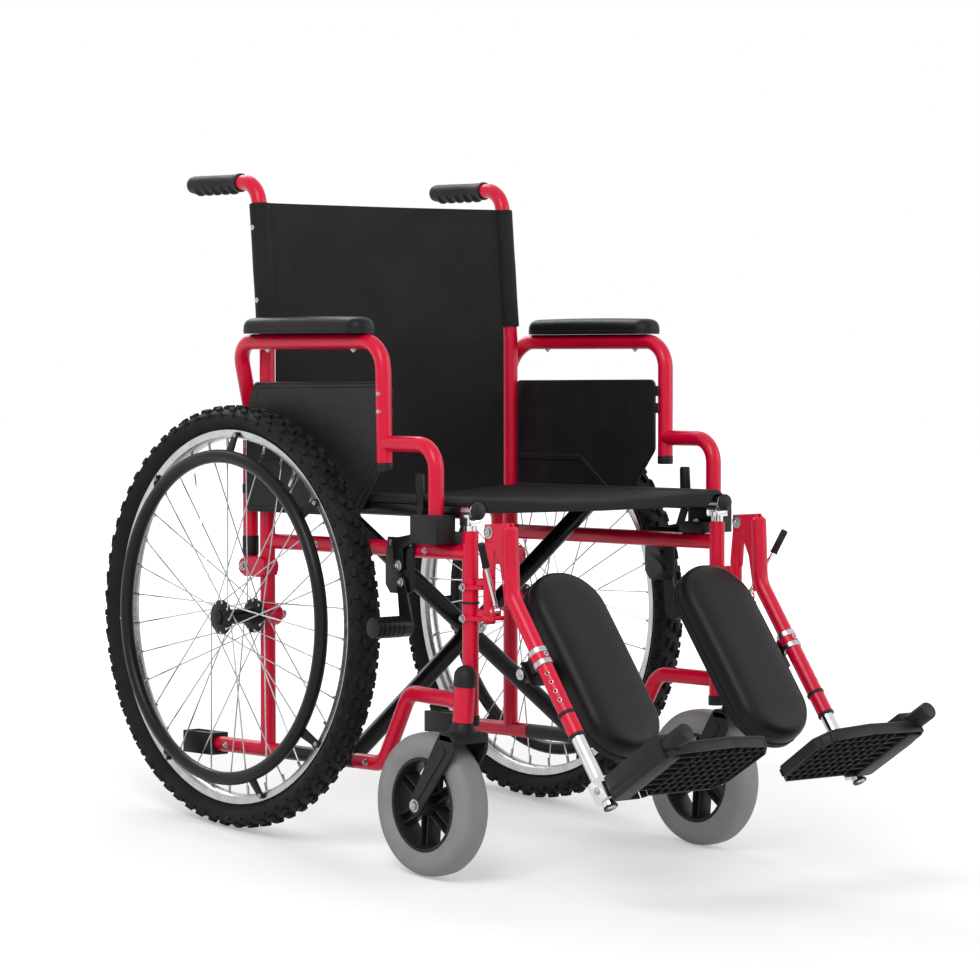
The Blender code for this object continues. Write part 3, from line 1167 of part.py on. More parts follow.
def side(label, s, hang, rail_hang):
    """All the pieces of one side; the brace and the seat rail cap hang elsewhere."""
    fixed = [
        side_frame("side_frame_" + label, s),
        upright_plug("upright_plug_" + label, s),
        push_grip("push_grip_" + label, s),
        tipping_foot("tipping_foot_" + label, s),
        rear_axle("rear_axle_" + label, s),
        arm_socket("arm_socket_" + label, s),
        brake_bracket("brake_bracket_" + label, s),
    ]
    if hang is not None:
        for piece in fixed:
            hang_on(piece, hang)
    spin = pivot_at("wheel_pivot_" + label, (s * WHEEL_X, AXLE_Y, AXLE_Z), WORLD, hang)
    for build, word in ((rear_tyre, "rear_tyre_"), (rear_rim, "rear_rim_"), (rear_hub, "rear_hub_"),
                        (handrim, "handrim_")):
        build(word + label, s, spin)
    swivel = pivot_at("swivel_pivot_" + label, (s * CASTER_X, SWIVEL_Y, HOUSING_LOW), WORLD, hang)
    caster_fork("caster_fork_" + label, s, swivel)
    roll = pivot_at("caster_pivot_" + label, (s * CASTER_X, SWIVEL_Y + TRAIL, CASTER_AXLE_Z), WORLD, swivel)
    caster_tyre("caster_tyre_" + label, s, roll)
    caster_wheel("caster_wheel_" + label, s, roll)
    arm = pivot_at("arm_pivot_" + label, (s * ARM_X, ARM_PIVOT_Y, ARM_PIVOT_Z), FRAME, hang)
    arm_frame("arm_frame_" + label, s, arm)
    arm_pad("arm_pad_" + label, s, arm)
    side_panel("side_panel_" + label, s, arm)
    brake = pivot_at("brake_pivot_" + label, (s * LEVER_IN, *BRAKE_PIVOT), FRAME, hang)
    brake_lever("brake_lever_" + label, s, brake)
    shoe = pivot_at("shoe_pivot_" + label, (s * LEVER_IN, *SHOE_PIVOT), FRAME, hang)
    brake_shoe("brake_shoe_" + label, s, shoe)
    swing = pivot_at("swing_pivot_" + label, (s * SIDE_X, SWING_Y, CLAMP_Z[0]), FRAME, hang)
    legrest_hanger("legrest_hanger_" + label, s, swing)
    release = pivot_at("release_pivot_" + label, (s * RELEASE_X, *RELEASE_PIVOT), FRAME, swing)
    release_lever("release_lever_" + label, s, release)
    knee = pivot_at("knee_pivot_" + label, (s * LEG_X, *KNEE), FRAME, swing)
    legrest_tube("legrest_tube_" + label, s, knee)
    calf = pivot_at("calf_pivot_" + label, (0, 0, 0), leg_place(s), knee)
    calf_bracket("calf_bracket_" + label, s, calf)
    calf_pad("calf_pad_" + label, s, calf)
    slide = pivot_at("slide_" + label, (0, 0, LEG_L), leg_place(s), knee)
    extension_tube("extension_tube_" + label, s, slide)
    foot = pivot_at("foot_pivot_" + label, (0, 0, 0), foot_place(s), slide)
    footplate("footplate_" + label, s, foot)
    rail_end_cap("rail_end_cap_" + label, s, rail_hang)


fold_right = pivot_at("fold_pivot_right", (-SIDE_X, BRACE_Y[0], LOWER_Z))
fold_centre = pivot_at("fold_pivot_centre", (0, BRACE_Y[0], CROSS_Z), parent=fold_right)
fold_left = pivot_at("fold_pivot_left", (SIDE_X, BRACE_Y[1], LOWER_Z), parent=fold_centre)
cross_brace("cross_brace_right", -1, BRACE_Y[0], fold_right)
cross_brace("cross_brace_left", 1, BRACE_Y[1], fold_centre)
hang_on(cross_bolt("cross_bolt"), fold_right)
side("right", -1, None, fold_centre)
side("left", 1, fold_left, fold_right)
seat_sling("seat_sling", fold_right)
back_sling("back_sling", None)
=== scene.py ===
from math import acos, cos, pi, radians, sin, tan

import bmesh
import bpy
from mathutils import Matrix, Vector


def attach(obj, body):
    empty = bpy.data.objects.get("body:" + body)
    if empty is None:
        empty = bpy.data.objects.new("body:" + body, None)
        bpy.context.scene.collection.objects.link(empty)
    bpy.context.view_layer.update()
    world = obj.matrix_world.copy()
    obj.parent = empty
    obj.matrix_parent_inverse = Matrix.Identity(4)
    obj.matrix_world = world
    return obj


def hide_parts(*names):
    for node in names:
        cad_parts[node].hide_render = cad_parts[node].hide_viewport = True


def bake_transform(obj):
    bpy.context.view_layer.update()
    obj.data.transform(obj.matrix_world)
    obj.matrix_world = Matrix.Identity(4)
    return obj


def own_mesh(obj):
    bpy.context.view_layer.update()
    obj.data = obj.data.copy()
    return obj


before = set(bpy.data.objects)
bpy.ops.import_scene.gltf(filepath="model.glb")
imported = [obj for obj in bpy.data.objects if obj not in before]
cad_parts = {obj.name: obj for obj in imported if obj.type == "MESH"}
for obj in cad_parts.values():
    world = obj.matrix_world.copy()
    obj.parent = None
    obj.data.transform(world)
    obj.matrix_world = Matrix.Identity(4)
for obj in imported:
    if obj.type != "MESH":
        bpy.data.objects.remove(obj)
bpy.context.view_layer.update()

# The raked frame: y back and z up from the rear axle line
AXLE_Y = 0.2884
AXLE_Z = 0.304029
RAKE = radians(4.735)
FRAME = Matrix.Translation((0, AXLE_Y, AXLE_Z)) @ Matrix.Rotation(-RAKE, 4, "X")
WORLD = Matrix.Identity(4)
GAP = 0.0003
SIDES = (("right", -1), ("left", 1))

# Camera, at the photograph's angle
CAMERA_AT = Vector((-3.6626, AXLE_Y - 4.4076, 1.0499))
CAMERA_TURN = radians(-41.0545)
CAMERA_RISE = radians(5.6094)
CAMERA_ROLL = radians(3.0556)
FOCAL_MM = 142.55
SENSOR_MM = 36.0
SHIFT_X = 0.00103


# Materials

def link(tree, out_socket, in_socket):
    tree.links.new(out_socket, in_socket)


def new_group(name, inputs, outputs):
    """An empty shader node group with its named inputs and outputs."""
    tree = bpy.data.node_groups.new(name, "ShaderNodeTree")
    for label, kind, value in inputs:
        made = tree.interface.new_socket(label, in_out="INPUT", socket_type=kind)
        if value is not None:
            made.default_value = value
    for label, kind in outputs:
        tree.interface.new_socket(label, in_out="OUTPUT", socket_type=kind)
    return tree, tree.nodes.new("NodeGroupInput"), tree.nodes.new("NodeGroupOutput")


def noise(tree, at, scale, detail=4.0):
    made = tree.nodes.new("ShaderNodeTexNoise")
    made.inputs["Detail"].default_value = detail
    link(tree, at, made.inputs["Vector"])
    if isinstance(scale, float):
        made.inputs["Scale"].default_value = scale
    else:
        link(tree, scale, made.inputs["Scale"])
    return made.outputs["Fac"]


def maths(tree, operation, a, b=None):
    made = tree.nodes.new("ShaderNodeMath")
    made.operation = operation
    for socket, value in zip(made.inputs, (a, b)):
        if isinstance(value, (int, float)):
            socket.default_value = value
        elif value is not None:
            link(tree, value, socket)
    return made.outputs[0]


def spread(tree, value, low, high):
    """A value from 0 to 1 drawn out between two limits."""
    made = tree.nodes.new("ShaderNodeMapRange")
    link(tree, value, made.inputs["Value"])
    for label, limit in (("To Min", low), ("To Max", high)):
        if isinstance(limit, (int, float)):
            made.inputs[label].default_value = limit
        else:
            link(tree, limit, made.inputs[label])
    return made.outputs["Result"]


def blend_colour(tree, share, a, b):
    made = tree.nodes.new("ShaderNodeMix")
    made.data_type = "RGBA"
    colours = [socket for socket in made.inputs if socket.type == "RGBA"]
    link(tree, share, made.inputs["Factor"])
    link(tree, a, colours[0])
    link(tree, b, colours[1])
    return next(socket for socket in made.outputs if socket.type == "RGBA")


def build_tone_group():
    """Slow colour drift and smudged gloss over a surface."""
    tree, gin, gout = new_group(
        "tone_and_gloss",
        [("Vector", "NodeSocketVector", None), ("Main", "NodeSocketColor", (1, 1, 1, 1)),
         ("Drift", "NodeSocketColor", (1, 1, 1, 1)), ("Scale", "NodeSocketFloat", 20.0),
         ("Gloss Low", "NodeSocketFloat", 0.3), ("Gloss High", "NodeSocketFloat", 0.4)],
        [("Color", "NodeSocketColor"), ("Roughness", "NodeSocketFloat")])
    patch = noise(tree, gin.outputs["Vector"], gin.outputs["Scale"])
    ramp = tree.nodes.new("ShaderNodeValToRGB")
    ramp.color_ramp.elements[0].position = 0.38
    ramp.color_ramp.elements[1].position = 0.66
    link(tree, patch, ramp.inputs["Fac"])
    tone = blend_colour(tree, ramp.outputs["Color"], gin.outputs["Main"], gin.outputs["Drift"])
    link(tree, tone, gout.inputs["Color"])
    smudge = noise(tree, gin.outputs["Vector"], 90.0, 6.0)
    gloss = spread(tree, smudge, gin.outputs["Gloss Low"], gin.outputs["Gloss High"])
    link(tree, gloss, gout.inputs["Roughness"])
    return tree


def relief(tree, height, depth, distance):
    """The normal of a height map."""
    bump = tree.nodes.new("ShaderNodeBump")
    bump.inputs["Distance"].default_value = distance
    link(tree, depth, bump.inputs["Strength"])
    link(tree, height, bump.inputs["Height"])
    return bump.outputs["Normal"]


def build_grain_group():
    """Fine moulded or leather grain as a normal."""
    tree, gin, gout = new_group(
        "grain",
        [("Vector", "NodeSocketVector", None), ("Scale", "NodeSocketFloat", 900.0),
         ("Depth", "NodeSocketFloat", 0.2)],
        [("Normal", "NodeSocketVector")])
    cells = tree.nodes.new("ShaderNodeTexVoronoi")
    cells.feature = "SMOOTH_F1"
    link(tree, gin.outputs["Vector"], cells.inputs["Vector"])
    link(tree, gin.outputs["Scale"], cells.inputs["Scale"])
    fine = noise(tree, gin.outputs["Vector"], gin.outputs["Scale"], 3.0)
    height = maths(tree, "ADD", cells.outputs["Distance"], fine)
    link(tree, relief(tree, height, gin.outputs["Depth"], 0.0004), gout.inputs["Normal"])
    return tree


def build_weave_group():
    """Crossed threads along the cloth's own U and V, in metres."""
    tree, gin, gout = new_group(
        "weave",
        [("Vector", "NodeSocketVector", None), ("Pitch", "NodeSocketFloat", 0.0012),
         ("Depth", "NodeSocketFloat", 0.4)],
        [("Normal", "NodeSocketVector")])
    split = tree.nodes.new("ShaderNodeSeparateXYZ")
    link(tree, gin.outputs["Vector"], split.inputs[0])
    waves = []
    for axis in "XY":
        turns = maths(tree, "DIVIDE", split.outputs[axis], gin.outputs["Pitch"])
        waves.append(maths(tree, "SINE", maths(tree, "MULTIPLY", turns, 2 * pi)))
    crossing = maths(tree, "MULTIPLY", waves[0], waves[1])
    height = maths(tree, "ADD", maths(tree, "MULTIPLY", crossing, 0.5), 0.5)
    link(tree, relief(tree, height, gin.outputs["Depth"], 0.0003), gout.inputs["Normal"])
    return tree


TONE = build_tone_group()
GRAIN = build_grain_group()
WEAVE = build_weave_group()


def preset(node, values):
    """Plain values on a node's own sockets."""
    for label, value in values.items():
        node.inputs[label].default_value = value


def finish_material(name, main, drift, gloss, scale=20.0, metallic=0.0, coat=0.0, grain=None, weave=None,
                    sheen=0.0, specular=0.5):
    """One finish: drifting tone, smudged gloss, and a grain or a weave."""
    made = bpy.data.materials.new(name)
    made.use_nodes = True
    tree = made.node_tree
    shader = tree.nodes["Principled BSDF"]
    preset(shader, {"Metallic": metallic, "Coat Weight": coat, "Coat Roughness": 0.06, "Sheen Weight": sheen,
                    "Specular IOR Level": specular})
    where = tree.nodes.new("ShaderNodeTexCoord")
    tone = tree.nodes.new("ShaderNodeGroup")
    tone.node_tree = TONE
    preset(tone, {"Main": (*main, 1), "Drift": (*drift, 1), "Scale": scale, "Gloss Low": gloss[0],
                  "Gloss High": gloss[1]})
    link(tree, where.outputs["Object"], tone.inputs["Vector"])
    link(tree, tone.outputs["Color"], shader.inputs["Base Color"])
    link(tree, tone.outputs["Roughness"], shader.inputs["Roughness"])
    for group, size, values, source in ((GRAIN, "Scale", grain, "Object"), (WEAVE, "Pitch", weave, "UV")):
        if values:
            pattern = tree.nodes.new("ShaderNodeGroup")
            pattern.node_tree = group
            preset(pattern, {size: values[0], "Depth": values[1]})
            link(tree, where.outputs[source], pattern.inputs["Vector"])
            link(tree, pattern.outputs["Normal"], shader.inputs["Normal"])
    return made


RED = finish_material("crimson_powder_coat", (0.78, 0.001, 0.044), (0.70, 0.001, 0.036), (0.28, 0.38),
                      coat=0.10, grain=(350.0, 0.03), specular=0.30)
BLACK_PAINT = finish_material("satin_black_paint", (0.007, 0.007, 0.008), (0.010, 0.010, 0.011),
                              (0.26, 0.38), grain=(500.0, 0.05), specular=0.20)
PLASTIC = finish_material("moulded_black_plastic", (0.014, 0.014, 0.015), (0.019, 0.019, 0.020),
                          (0.38, 0.52), 35.0, grain=(1400.0, 0.18), specular=0.20)
GRIP_RUBBER = finish_material("soft_black_grip", (0.008, 0.008, 0.008), (0.012, 0.012, 0.012), (0.46, 0.60),
                              45.0, grain=(1100.0, 0.25), specular=0.20)
VINYL = finish_material("black_vinyl", (0.008, 0.008, 0.009), (0.011, 0.011, 0.012), (0.34, 0.46), 12.0,
                        grain=(1300.0, 0.30), specular=0.18)
NYLON = finish_material("black_nylon_weave", (0.015, 0.015, 0.016), (0.020, 0.020, 0.021), (0.60, 0.76), 9.0,
                        weave=(0.0013, 0.45), sheen=0.02, specular=0.12)
THREAD = finish_material("black_stitching", (0.016, 0.016, 0.017), (0.022, 0.022, 0.023), (0.60, 0.70),
                         200.0, specular=0.20)
TREAD = finish_material("black_tread_rubber", (0.009, 0.009, 0.009), (0.015, 0.0145, 0.014), (0.60, 0.78),
                        30.0, grain=(700.0, 0.20), specular=0.18)
GREY_TYRE = finish_material("grey_tyre_rubber", (0.265, 0.265, 0.270), (0.300, 0.300, 0.303), (0.52, 0.66),
                            25.0, grain=(800.0, 0.12))
SILVER = finish_material("polished_alloy", (0.50, 0.505, 0.52), (0.40, 0.405, 0.42), (0.22, 0.34), 40.0,
                         metallic=1.0)
CHROME = finish_material("bright_chrome", (0.72, 0.725, 0.74), (0.64, 0.645, 0.66), (0.07, 0.14), 30.0,
                         metallic=1.0)

# The slot of a piece, by its finish
SLOTS = {made.name: slot for slot, finishes in (
    ("red_paint", (RED,)), ("black_paint", (BLACK_PAINT,)), ("black_plastic", (PLASTIC, GRIP_RUBBER)),
    ("black_vinyl", (VINYL, NYLON, THREAD)), ("tyre_rubber", (TREAD,)), ("grey_rubber", (GREY_TYRE,)),
    ("silver", (SILVER,)), ("chrome", (CHROME,))) for made in finishes}


# Shapes: every maker adds to a bmesh in world coordinates

def fillet(points, radius, steps):
    """The points of a path whose inner corners are arcs of one radius."""
    points = [Vector(p) for p in points]
    path = [points[0]]
    for before, corner, after in zip(points, points[1:], points[2:]):
        back = (before - corner).normalized()
        ahead = (after - corner).normalized()
        half = back.angle(ahead) / 2
        reach = min(radius / tan(half), 0.49 * (before - corner).length, 0.49 * (after - corner).length)
        bend = reach * tan(half)
        centre = corner + (back + ahead).normalized() * (bend / sin(half))
        first = corner + back * reach - centre
        last = corner + ahead * reach - centre
        sweep = first.angle(last)
        for k in range(steps + 1):
            share = k / steps
            path.append(centre + (sin((1 - share) * sweep) * first + sin(share * sweep) * last) / sin(sweep))
    path.append(points[-1])
    return path


def rounded(corners, radius, steps):
    """A closed outline of (x, y) corners, rounded."""
    ring = [Vector((x, y, 0)) for x, y in corners]
    return fillet(ring[-1:] + ring + ring[:1], radius, steps)[1:-1]


def turn_to(axis):
    return Vector(axis).to_track_quat("Z", "Y").to_matrix().to_4x4()


def edges_of(verts):
    return {e for v in verts for e in v.link_edges}


def pull_ring(bm, edges):
    """A ring of edges extruded once: its new vertices and edges."""
    grown = bmesh.ops.extrude_edge_only(bm, edges=edges)["geom"]
    return ([g for g in grown if isinstance(g, bmesh.types.BMVert)],
            [g for g in grown if isinstance(g, bmesh.types.BMEdge)])


def round_edges(bm, edges, ease, segments=2, verts=(), clamp=False):
    """Bevels the edges, and gives the shape's vertices as they are then."""
    grown = bmesh.ops.bevel(bm, geom=list(edges), offset=ease, segments=segments, affect="EDGES",
                            profile=0.5, material=-1, clamp_overlap=clamp)
    return list({v for f in grown["faces"] for v in f.verts} | {v for v in verts if v.is_valid})


def tube(bm, points, radius, place=FRAME, bend=0.03, steps=8, sides=20, ends=0.0012):
    """A ring of edges extruded along a path with rounded corners, its ends eased and filled."""
    path = fillet(points, bend, steps) if len(points) > 2 else [Vector(p) for p in points]
    first = (path[1] - path[0]).normalized()
    last = (path[-1] - path[-2]).normalized()
    rings = [(path[0], radius - ends), (path[0] + first * ends, radius)]
    rings += [(p, radius) for p in path[1:-1]]
    rings += [(path[-1] - last * ends, radius), (path[-1], radius - ends)]
    begun = bmesh.ops.create_circle(bm, cap_ends=False, segments=sides, radius=1.0)["verts"]
    edges = list(edges_of(begun))
    shaped = [begun]
    while len(shaped) < len(rings):
        verts, edges = pull_ring(bm, edges)
        shaped.append(verts)
    heading = first
    turn = turn_to(first)
    for k, ((spot, size), ring) in enumerate(zip(rings, shaped)):
        if k < 2:
            ahead = first
        elif k > len(rings) - 3:
            ahead = last
        else:
            ahead = (rings[k + 1][0] - rings[k - 1][0]).normalized()
        turn = heading.rotation_difference(ahead).to_matrix().to_4x4() @ turn
        heading = ahead
        bmesh.ops.transform(bm, verts=ring,
                            matrix=place @ Matrix.Translation(spot) @ turn @ Matrix.Scale(size, 4))
    bmesh.ops.contextual_create(bm, geom=edges)
    bmesh.ops.contextual_create(bm, geom=[e for e in edges_of(begun) if e.is_boundary])


def bar(bm, start, end, radius, place=FRAME, sides=20, end_radius=None, ease=0.0006):
    """A straight round bar with eased ends."""
    start, end = Vector(start), Vector(end)
    axis = end - start
    made = bmesh.ops.create_cone(bm, cap_ends=True, segments=sides, radius1=radius,
                                 radius2=radius if end_radius is None else end_radius, depth=axis.length,
                                 matrix=place @ Matrix.Translation((start + end) / 2) @ turn_to(axis))
    if ease:
        rims = [e for e in edges_of(made["verts"]) if any(len(f.verts) > 4 for f in e.link_faces)]
        round_edges(bm, rims, ease)


def block(bm, low, high, place=FRAME, ease=0.001):
    """A block between two opposite corners with rounded edges."""
    low, high = Vector(low), Vector(high)
    size = Vector([abs(v) for v in high - low])
    verts = bmesh.ops.create_cube(bm, size=1.0)["verts"]
    bmesh.ops.scale(bm, vec=size, verts=verts)
    verts = round_edges(bm, edges_of(verts), min(ease, 0.4 * min(size)), 2, verts)
    bmesh.ops.transform(bm, verts=verts, matrix=place @ Matrix.Translation((low + high) / 2))


def tapered_cube(bm, size, axis, shares, place, segments):
    """A cube drawn in on the far side of one axis, scaled, eased and set in place."""
    verts = bmesh.ops.create_cube(bm, size=1.0)["verts"]
    for v in verts:
        if v.co[axis] > 0:
            v.co = [length * share for length, share in zip(v.co, shares)]
    bmesh.ops.scale(bm, vec=size, verts=verts)
    verts = round_edges(bm, edges_of(verts), 0.0007, segments, verts)
    bmesh.ops.transform(bm, verts=verts, matrix=place)


def lathe(bm, profile, place, steps, closed=False):
    """A profile of (radius, height) points spun once round the placement's Z axis."""
    verts = [bm.verts.new((r, 0, h)) for r, h in profile]
    edges = [bm.edges.new(pair) for pair in zip(verts, verts[1:])]
    if closed:
        edges.append(bm.edges.new((verts[-1], verts[0])))
    before = set(bm.verts)
    bmesh.ops.spin(bm, geom=verts + edges, cent=(0, 0, 0), axis=(0, 0, 1), angle=2 * pi, steps=steps,
                   use_merge=True)
    ring = list((set(bm.verts) - before) | set(verts))
    bmesh.ops.transform(bm, verts=ring, matrix=place)


def mirrored(half):
    """A closed profile from its upper half."""
    return [(r, -h) for r, h in half] + [(r, h) for r, h in reversed(half)]


PLANES = {"YZ": Matrix(((0, 0, 1, 0), (1, 0, 0, 0), (0, 1, 0, 0), (0, 0, 0, 1))), "XY": WORLD}


def plate(bm, outline, low, high, place=FRAME, plane="YZ", ease=0.0006):
    """A flat outline pulled out to its thickness, with its two rims eased."""
    verts = [bm.verts.new((p[0], p[1], low)) for p in outline]
    grown = bmesh.ops.extrude_face_region(bm, geom=[bm.faces.new(verts)])["geom"]
    top = [g for g in grown if isinstance(g, bmesh.types.BMVert)]
    bmesh.ops.translate(bm, verts=top, vec=(0, 0, high - low))
    both = [set(verts), set(top)]
    rims = [e for e in edges_of(verts + top)
            if any(e.verts[0] in group and e.verts[1] in group for group in both)]
    verts = round_edges(bm, rims, ease, 1, verts + top)
    bmesh.ops.transform(bm, verts=verts, matrix=place @ PLANES[plane])


def side_plate(bm, outline, s, a, b, ease=0.0006, place=FRAME):
    """An upright plate between two distances from the middle, on one side."""
    low, high = sorted((s * a, s * b))
    plate(bm, outline, low, high, place, ease=ease)


def belt(a, radius_a, b, radius_b, steps=12):
    """The outline round two circles and their outer tangents."""
    a, b = Vector(a), Vector(b)
    span = b - a
    lean = acos((radius_a - radius_b) / span.length)
    heading = -Vector((1, 0)).angle_signed(span)
    points = []
    for centre, radius, start, sweep in ((a, radius_a, heading + lean, 2 * pi - 2 * lean),
                                         (b, radius_b, heading - lean, 2 * lean)):
        for k in range(steps + 1):
            angle = start + sweep * k / steps
            points.append((centre.x + radius * cos(angle), centre.y + radius * sin(angle)))
    return points


def bolt(bm, start, end, radius=0.0055, place=FRAME):
    """A hex head with a washer and a dome, standing on a face along a line."""
    start, end = Vector(start), Vector(end)
    way = (end - start).normalized()
    bar(bm, start, start + way * 0.001, radius * 1.35, place, 20, ease=0.0003)
    bar(bm, start + way * 0.001, end, radius, place, 6, ease=0.0005)
    bar(bm, end - way * 0.0005, end + way * 0.0018, radius * 0.55, place, 12, radius * 0.40, 0.0003)


def side_bolt(bm, s, a, b, spot, radius, place=FRAME):
    """A bolt between two distances from the middle, on one side, at a spot seen from there."""
    bolt(bm, (s * a, *spot), (s * b, *spot), radius, place)


def finished(name, bm, material, body, replaced=(), smooth=35, slot=None):
    """The bmesh becomes a piece that rides on its body, if it has one, and stands for CAD nodes."""
    bmesh.ops.remove_doubles(bm, verts=bm.verts, dist=1e-6)
    bmesh.ops.recalc_face_normals(bm, faces=bm.faces)
    mesh = bpy.data.meshes.new(name)
    bm.to_mesh(mesh)
    bm.free()
    mesh.materials.append(material)
    mesh.shade_smooth()
    mesh.set_sharp_from_angle(angle=radians(smooth))
    made = bpy.data.objects.new(name, mesh)
    bpy.context.scene.collection.objects.link(made)
    if body:
        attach(made, body)
    if replaced:
        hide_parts(*replaced)
    slot or SLOTS[material.name]
    return made


def eased_copy(node, material, body, slot, ease):
    """A welded copy of a CAD node with its flat faces whole and its sharp edges rounded."""
    bm = bmesh.new()
    bm.from_mesh(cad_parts[node].data)
    bmesh.ops.remove_doubles(bm, verts=bm.verts, dist=2e-6)
    bmesh.ops.dissolve_limit(bm, angle_limit=radians(1.0), verts=bm.verts, edges=bm.edges)
    hard = [e for e in bm.edges if len(e.link_faces) == 2 and e.calc_face_angle(0.0) > radians(50)]
    round_edges(bm, hard, ease, clamp=True)
    finished("shaped_" + node, bm, material, body, [node], 40, slot)


# Wheels

WHEEL_X = 0.2898
TYRE_R = AXLE_Z
CARCASS_R = 0.2985
RIM_R = 0.2695
RIM_BED_R = 0.2556
RIM_HALF = 0.0135
HANDRIM_X = 0.3200
HANDRIM_R = 0.2313
HANDRIM_TUBE_R = 0.0097
HANDRIM_TABS = (45, 91, 137, 188, 239, 291, 325)
HUB_R = 0.0127
FLANGE_R = 0.0250
FLANGE_X = (0.2605, 0.3191)
HUB_X = (0.2560, 0.3250)
AXLE_BORE_R = 0.0066
SPOKES = 36
SPOKE_R = 0.00105
SPOKE_SPREAD = 0.0022
VALVE_ANGLE = 62
KNOBS = 64
CROWN_KNOB = (0.0074, 0.0150, 0.0086)
SHOULDER_KNOB = (0.0100, 0.0150, 0.0078)
SIDE_KNOB = (0.0100, 0.0105, 0.0068)


def across(x, y, z, side):
    """A placement whose Z axis points outward along X on one side."""
    return Matrix.Translation((x, y, z)) @ Matrix.Rotation(side * pi / 2, 4, "Y")


def wheel_spot(s, x, radius, degrees_up):
    angle = radians(degrees_up)
    return Vector((s * x, AXLE_Y - radius * cos(angle), AXLE_Z + radius * sin(angle)))


def outward(spot):
    """The way from the rear axle line to a spot."""
    return (spot - Vector((spot.x, AXLE_Y, AXLE_Z))).normalized()


def knob(bm, place, angle, radius, offset, size, lean, twist=0.0):
    """One tread block, narrower at its top, set on the carcass."""
    turn = Matrix.Rotation(angle, 4, "Z") @ Matrix.Translation((radius, 0, offset))
    turn = turn @ Matrix.Rotation(-lean, 4, "Y") @ Matrix.Rotation(twist, 4, "X")
    tapered_cube(bm, size, 0, (1, 0.80, 0.80), place @ turn, 1)


def tread(label, s):
    """The round carcass with its rows of blocks on the crown, the shoulders and the sides."""
    place = across(s * WHEEL_X, AXLE_Y, AXLE_Z, s)
    bm = bmesh.new()
    half = [(RIM_R + GAP, 0.0105), (0.2740, 0.0150), (0.2800, 0.0212), (0.2860, 0.0243), (0.2915, 0.0238),
            (0.2955, 0.0195), (0.2978, 0.0130), (CARCASS_R, 0.0050)]
    lathe(bm, mirrored(half), place, steps=128, closed=True)
    pitch = 2 * pi / KNOBS
    crown = TYRE_R - CROWN_KNOB[0] / 2
    for k in range(KNOBS):
        at = k * pitch
        stagger = at + pitch * (0.5 if k % 2 else 0.42)
        for e in (-1, 1):
            knob(bm, place, at + e * pitch * 0.12, crown, e * 0.0056, CROWN_KNOB, 0.0, e * 0.30)
            knob(bm, place, stagger, 0.2960, e * 0.0158, SHOULDER_KNOB, e * 0.55, -e * 0.20)
            knob(bm, place, at + pitch * 0.10 * e, 0.2890, e * 0.0225, SIDE_KNOB, e * 1.15)
    finished("knobbly_tyre_" + label, bm, TREAD, "rear_wheel_" + label, ["rear_tyre_" + label])


def alloy_rim(label, s):
    """The hooked alloy rim with its spoke nipples and its valve."""
    place = across(s * WHEEL_X, AXLE_Y, AXLE_Z, s)
    bm = bmesh.new()
    half = [(RIM_R, 0.0122), (RIM_R, RIM_HALF - 0.0004), (RIM_R - 0.0006, RIM_HALF),
            (0.2612, RIM_HALF - 0.0006), (0.2592, 0.0124), (0.2572, 0.0094), (RIM_BED_R + 0.0004, 0.0068),
            (RIM_BED_R, 0.0040)]
    lathe(bm, mirrored(half), place, steps=144, closed=True)
    for rim_end, _, _ in spoke_ends(s):
        out = outward(rim_end)
        bar(bm, rim_end - out * 0.0110, rim_end + out * 0.0012, 0.0021, WORLD, 8, ease=0)
    root = wheel_spot(s, WHEEL_X, RIM_BED_R + 0.001, VALVE_ANGLE)
    out = outward(root)
    bar(bm, root, root - out * 0.030, 0.0029, WORLD, 12)
    bar(bm, root, root - out * 0.006, 0.0046, WORLD, 6)
    finished("alloy_rim_" + label, bm, SILVER, "rear_wheel_" + label, ["rear_rim_" + label])


def spoke_ends(s):
    """The rim end and the flange end of each crossed spoke, and the side of the flange that it is on."""
    pitch = 4 * 360 / SPOKES
    ends = []
    for flange, shift in ((FLANGE_X[1], 0), (FLANGE_X[0], 360 / SPOKES)):
        for k in range(SPOKES // 4):
            for turn, lead, lean in ((0, 1.5 * pitch, 1), (pitch / 2, -1.5 * pitch, -1)):
                at = k * pitch + turn + shift
                ends.append((wheel_spot(s, WHEEL_X, RIM_BED_R - 0.0015, at + lead),
                             wheel_spot(s, flange + lean * SPOKE_SPREAD, FLANGE_R - 0.003, at), lean))
    return ends


def spoked_hub(label, s):
    """The hub barrel with its two flanges, then the spokes and their heads."""
    bm = bmesh.new()
    profile = [(AXLE_BORE_R, HUB_X[0]), (HUB_R - 0.0010, HUB_X[0]), (HUB_R, HUB_X[0] + 0.001)]
    waist = [(HUB_R - 0.0018, FLANGE_X[0] + 0.0100), (HUB_R - 0.0018, FLANGE_X[1] - 0.0100)]
    for middle, after in zip(FLANGE_X, (waist, [])):
        profile += [(HUB_R + 0.001, middle - 0.0045), (FLANGE_R - 0.0012, middle - 0.0018),
                    (FLANGE_R, middle - 0.0008), (FLANGE_R, middle + 0.0008),
                    (FLANGE_R - 0.0012, middle + 0.0018), (HUB_R + 0.001, middle + 0.0045)]
        profile += after
    profile += [(HUB_R, HUB_X[1] - 0.001), (HUB_R - 0.0010, HUB_X[1]), (AXLE_BORE_R, HUB_X[1])]
    lathe(bm, profile, across(0, AXLE_Y, AXLE_Z, s), steps=40, closed=True)
    finished("hub_barrel_" + label, bm, BLACK_PAINT, "rear_wheel_" + label, ["rear_hub_" + label])
    bm = bmesh.new()
    for rim_end, flange_end, lean in spoke_ends(s):
        bar(bm, flange_end, rim_end, SPOKE_R, WORLD, 6, ease=0)
        side = Vector((s * lean, 0, 0))
        bar(bm, flange_end - side * 0.0028, flange_end + side * 0.0014, 0.0019, WORLD, 8, ease=0)
    finished("spokes_" + label, bm, SILVER, "rear_wheel_" + label)


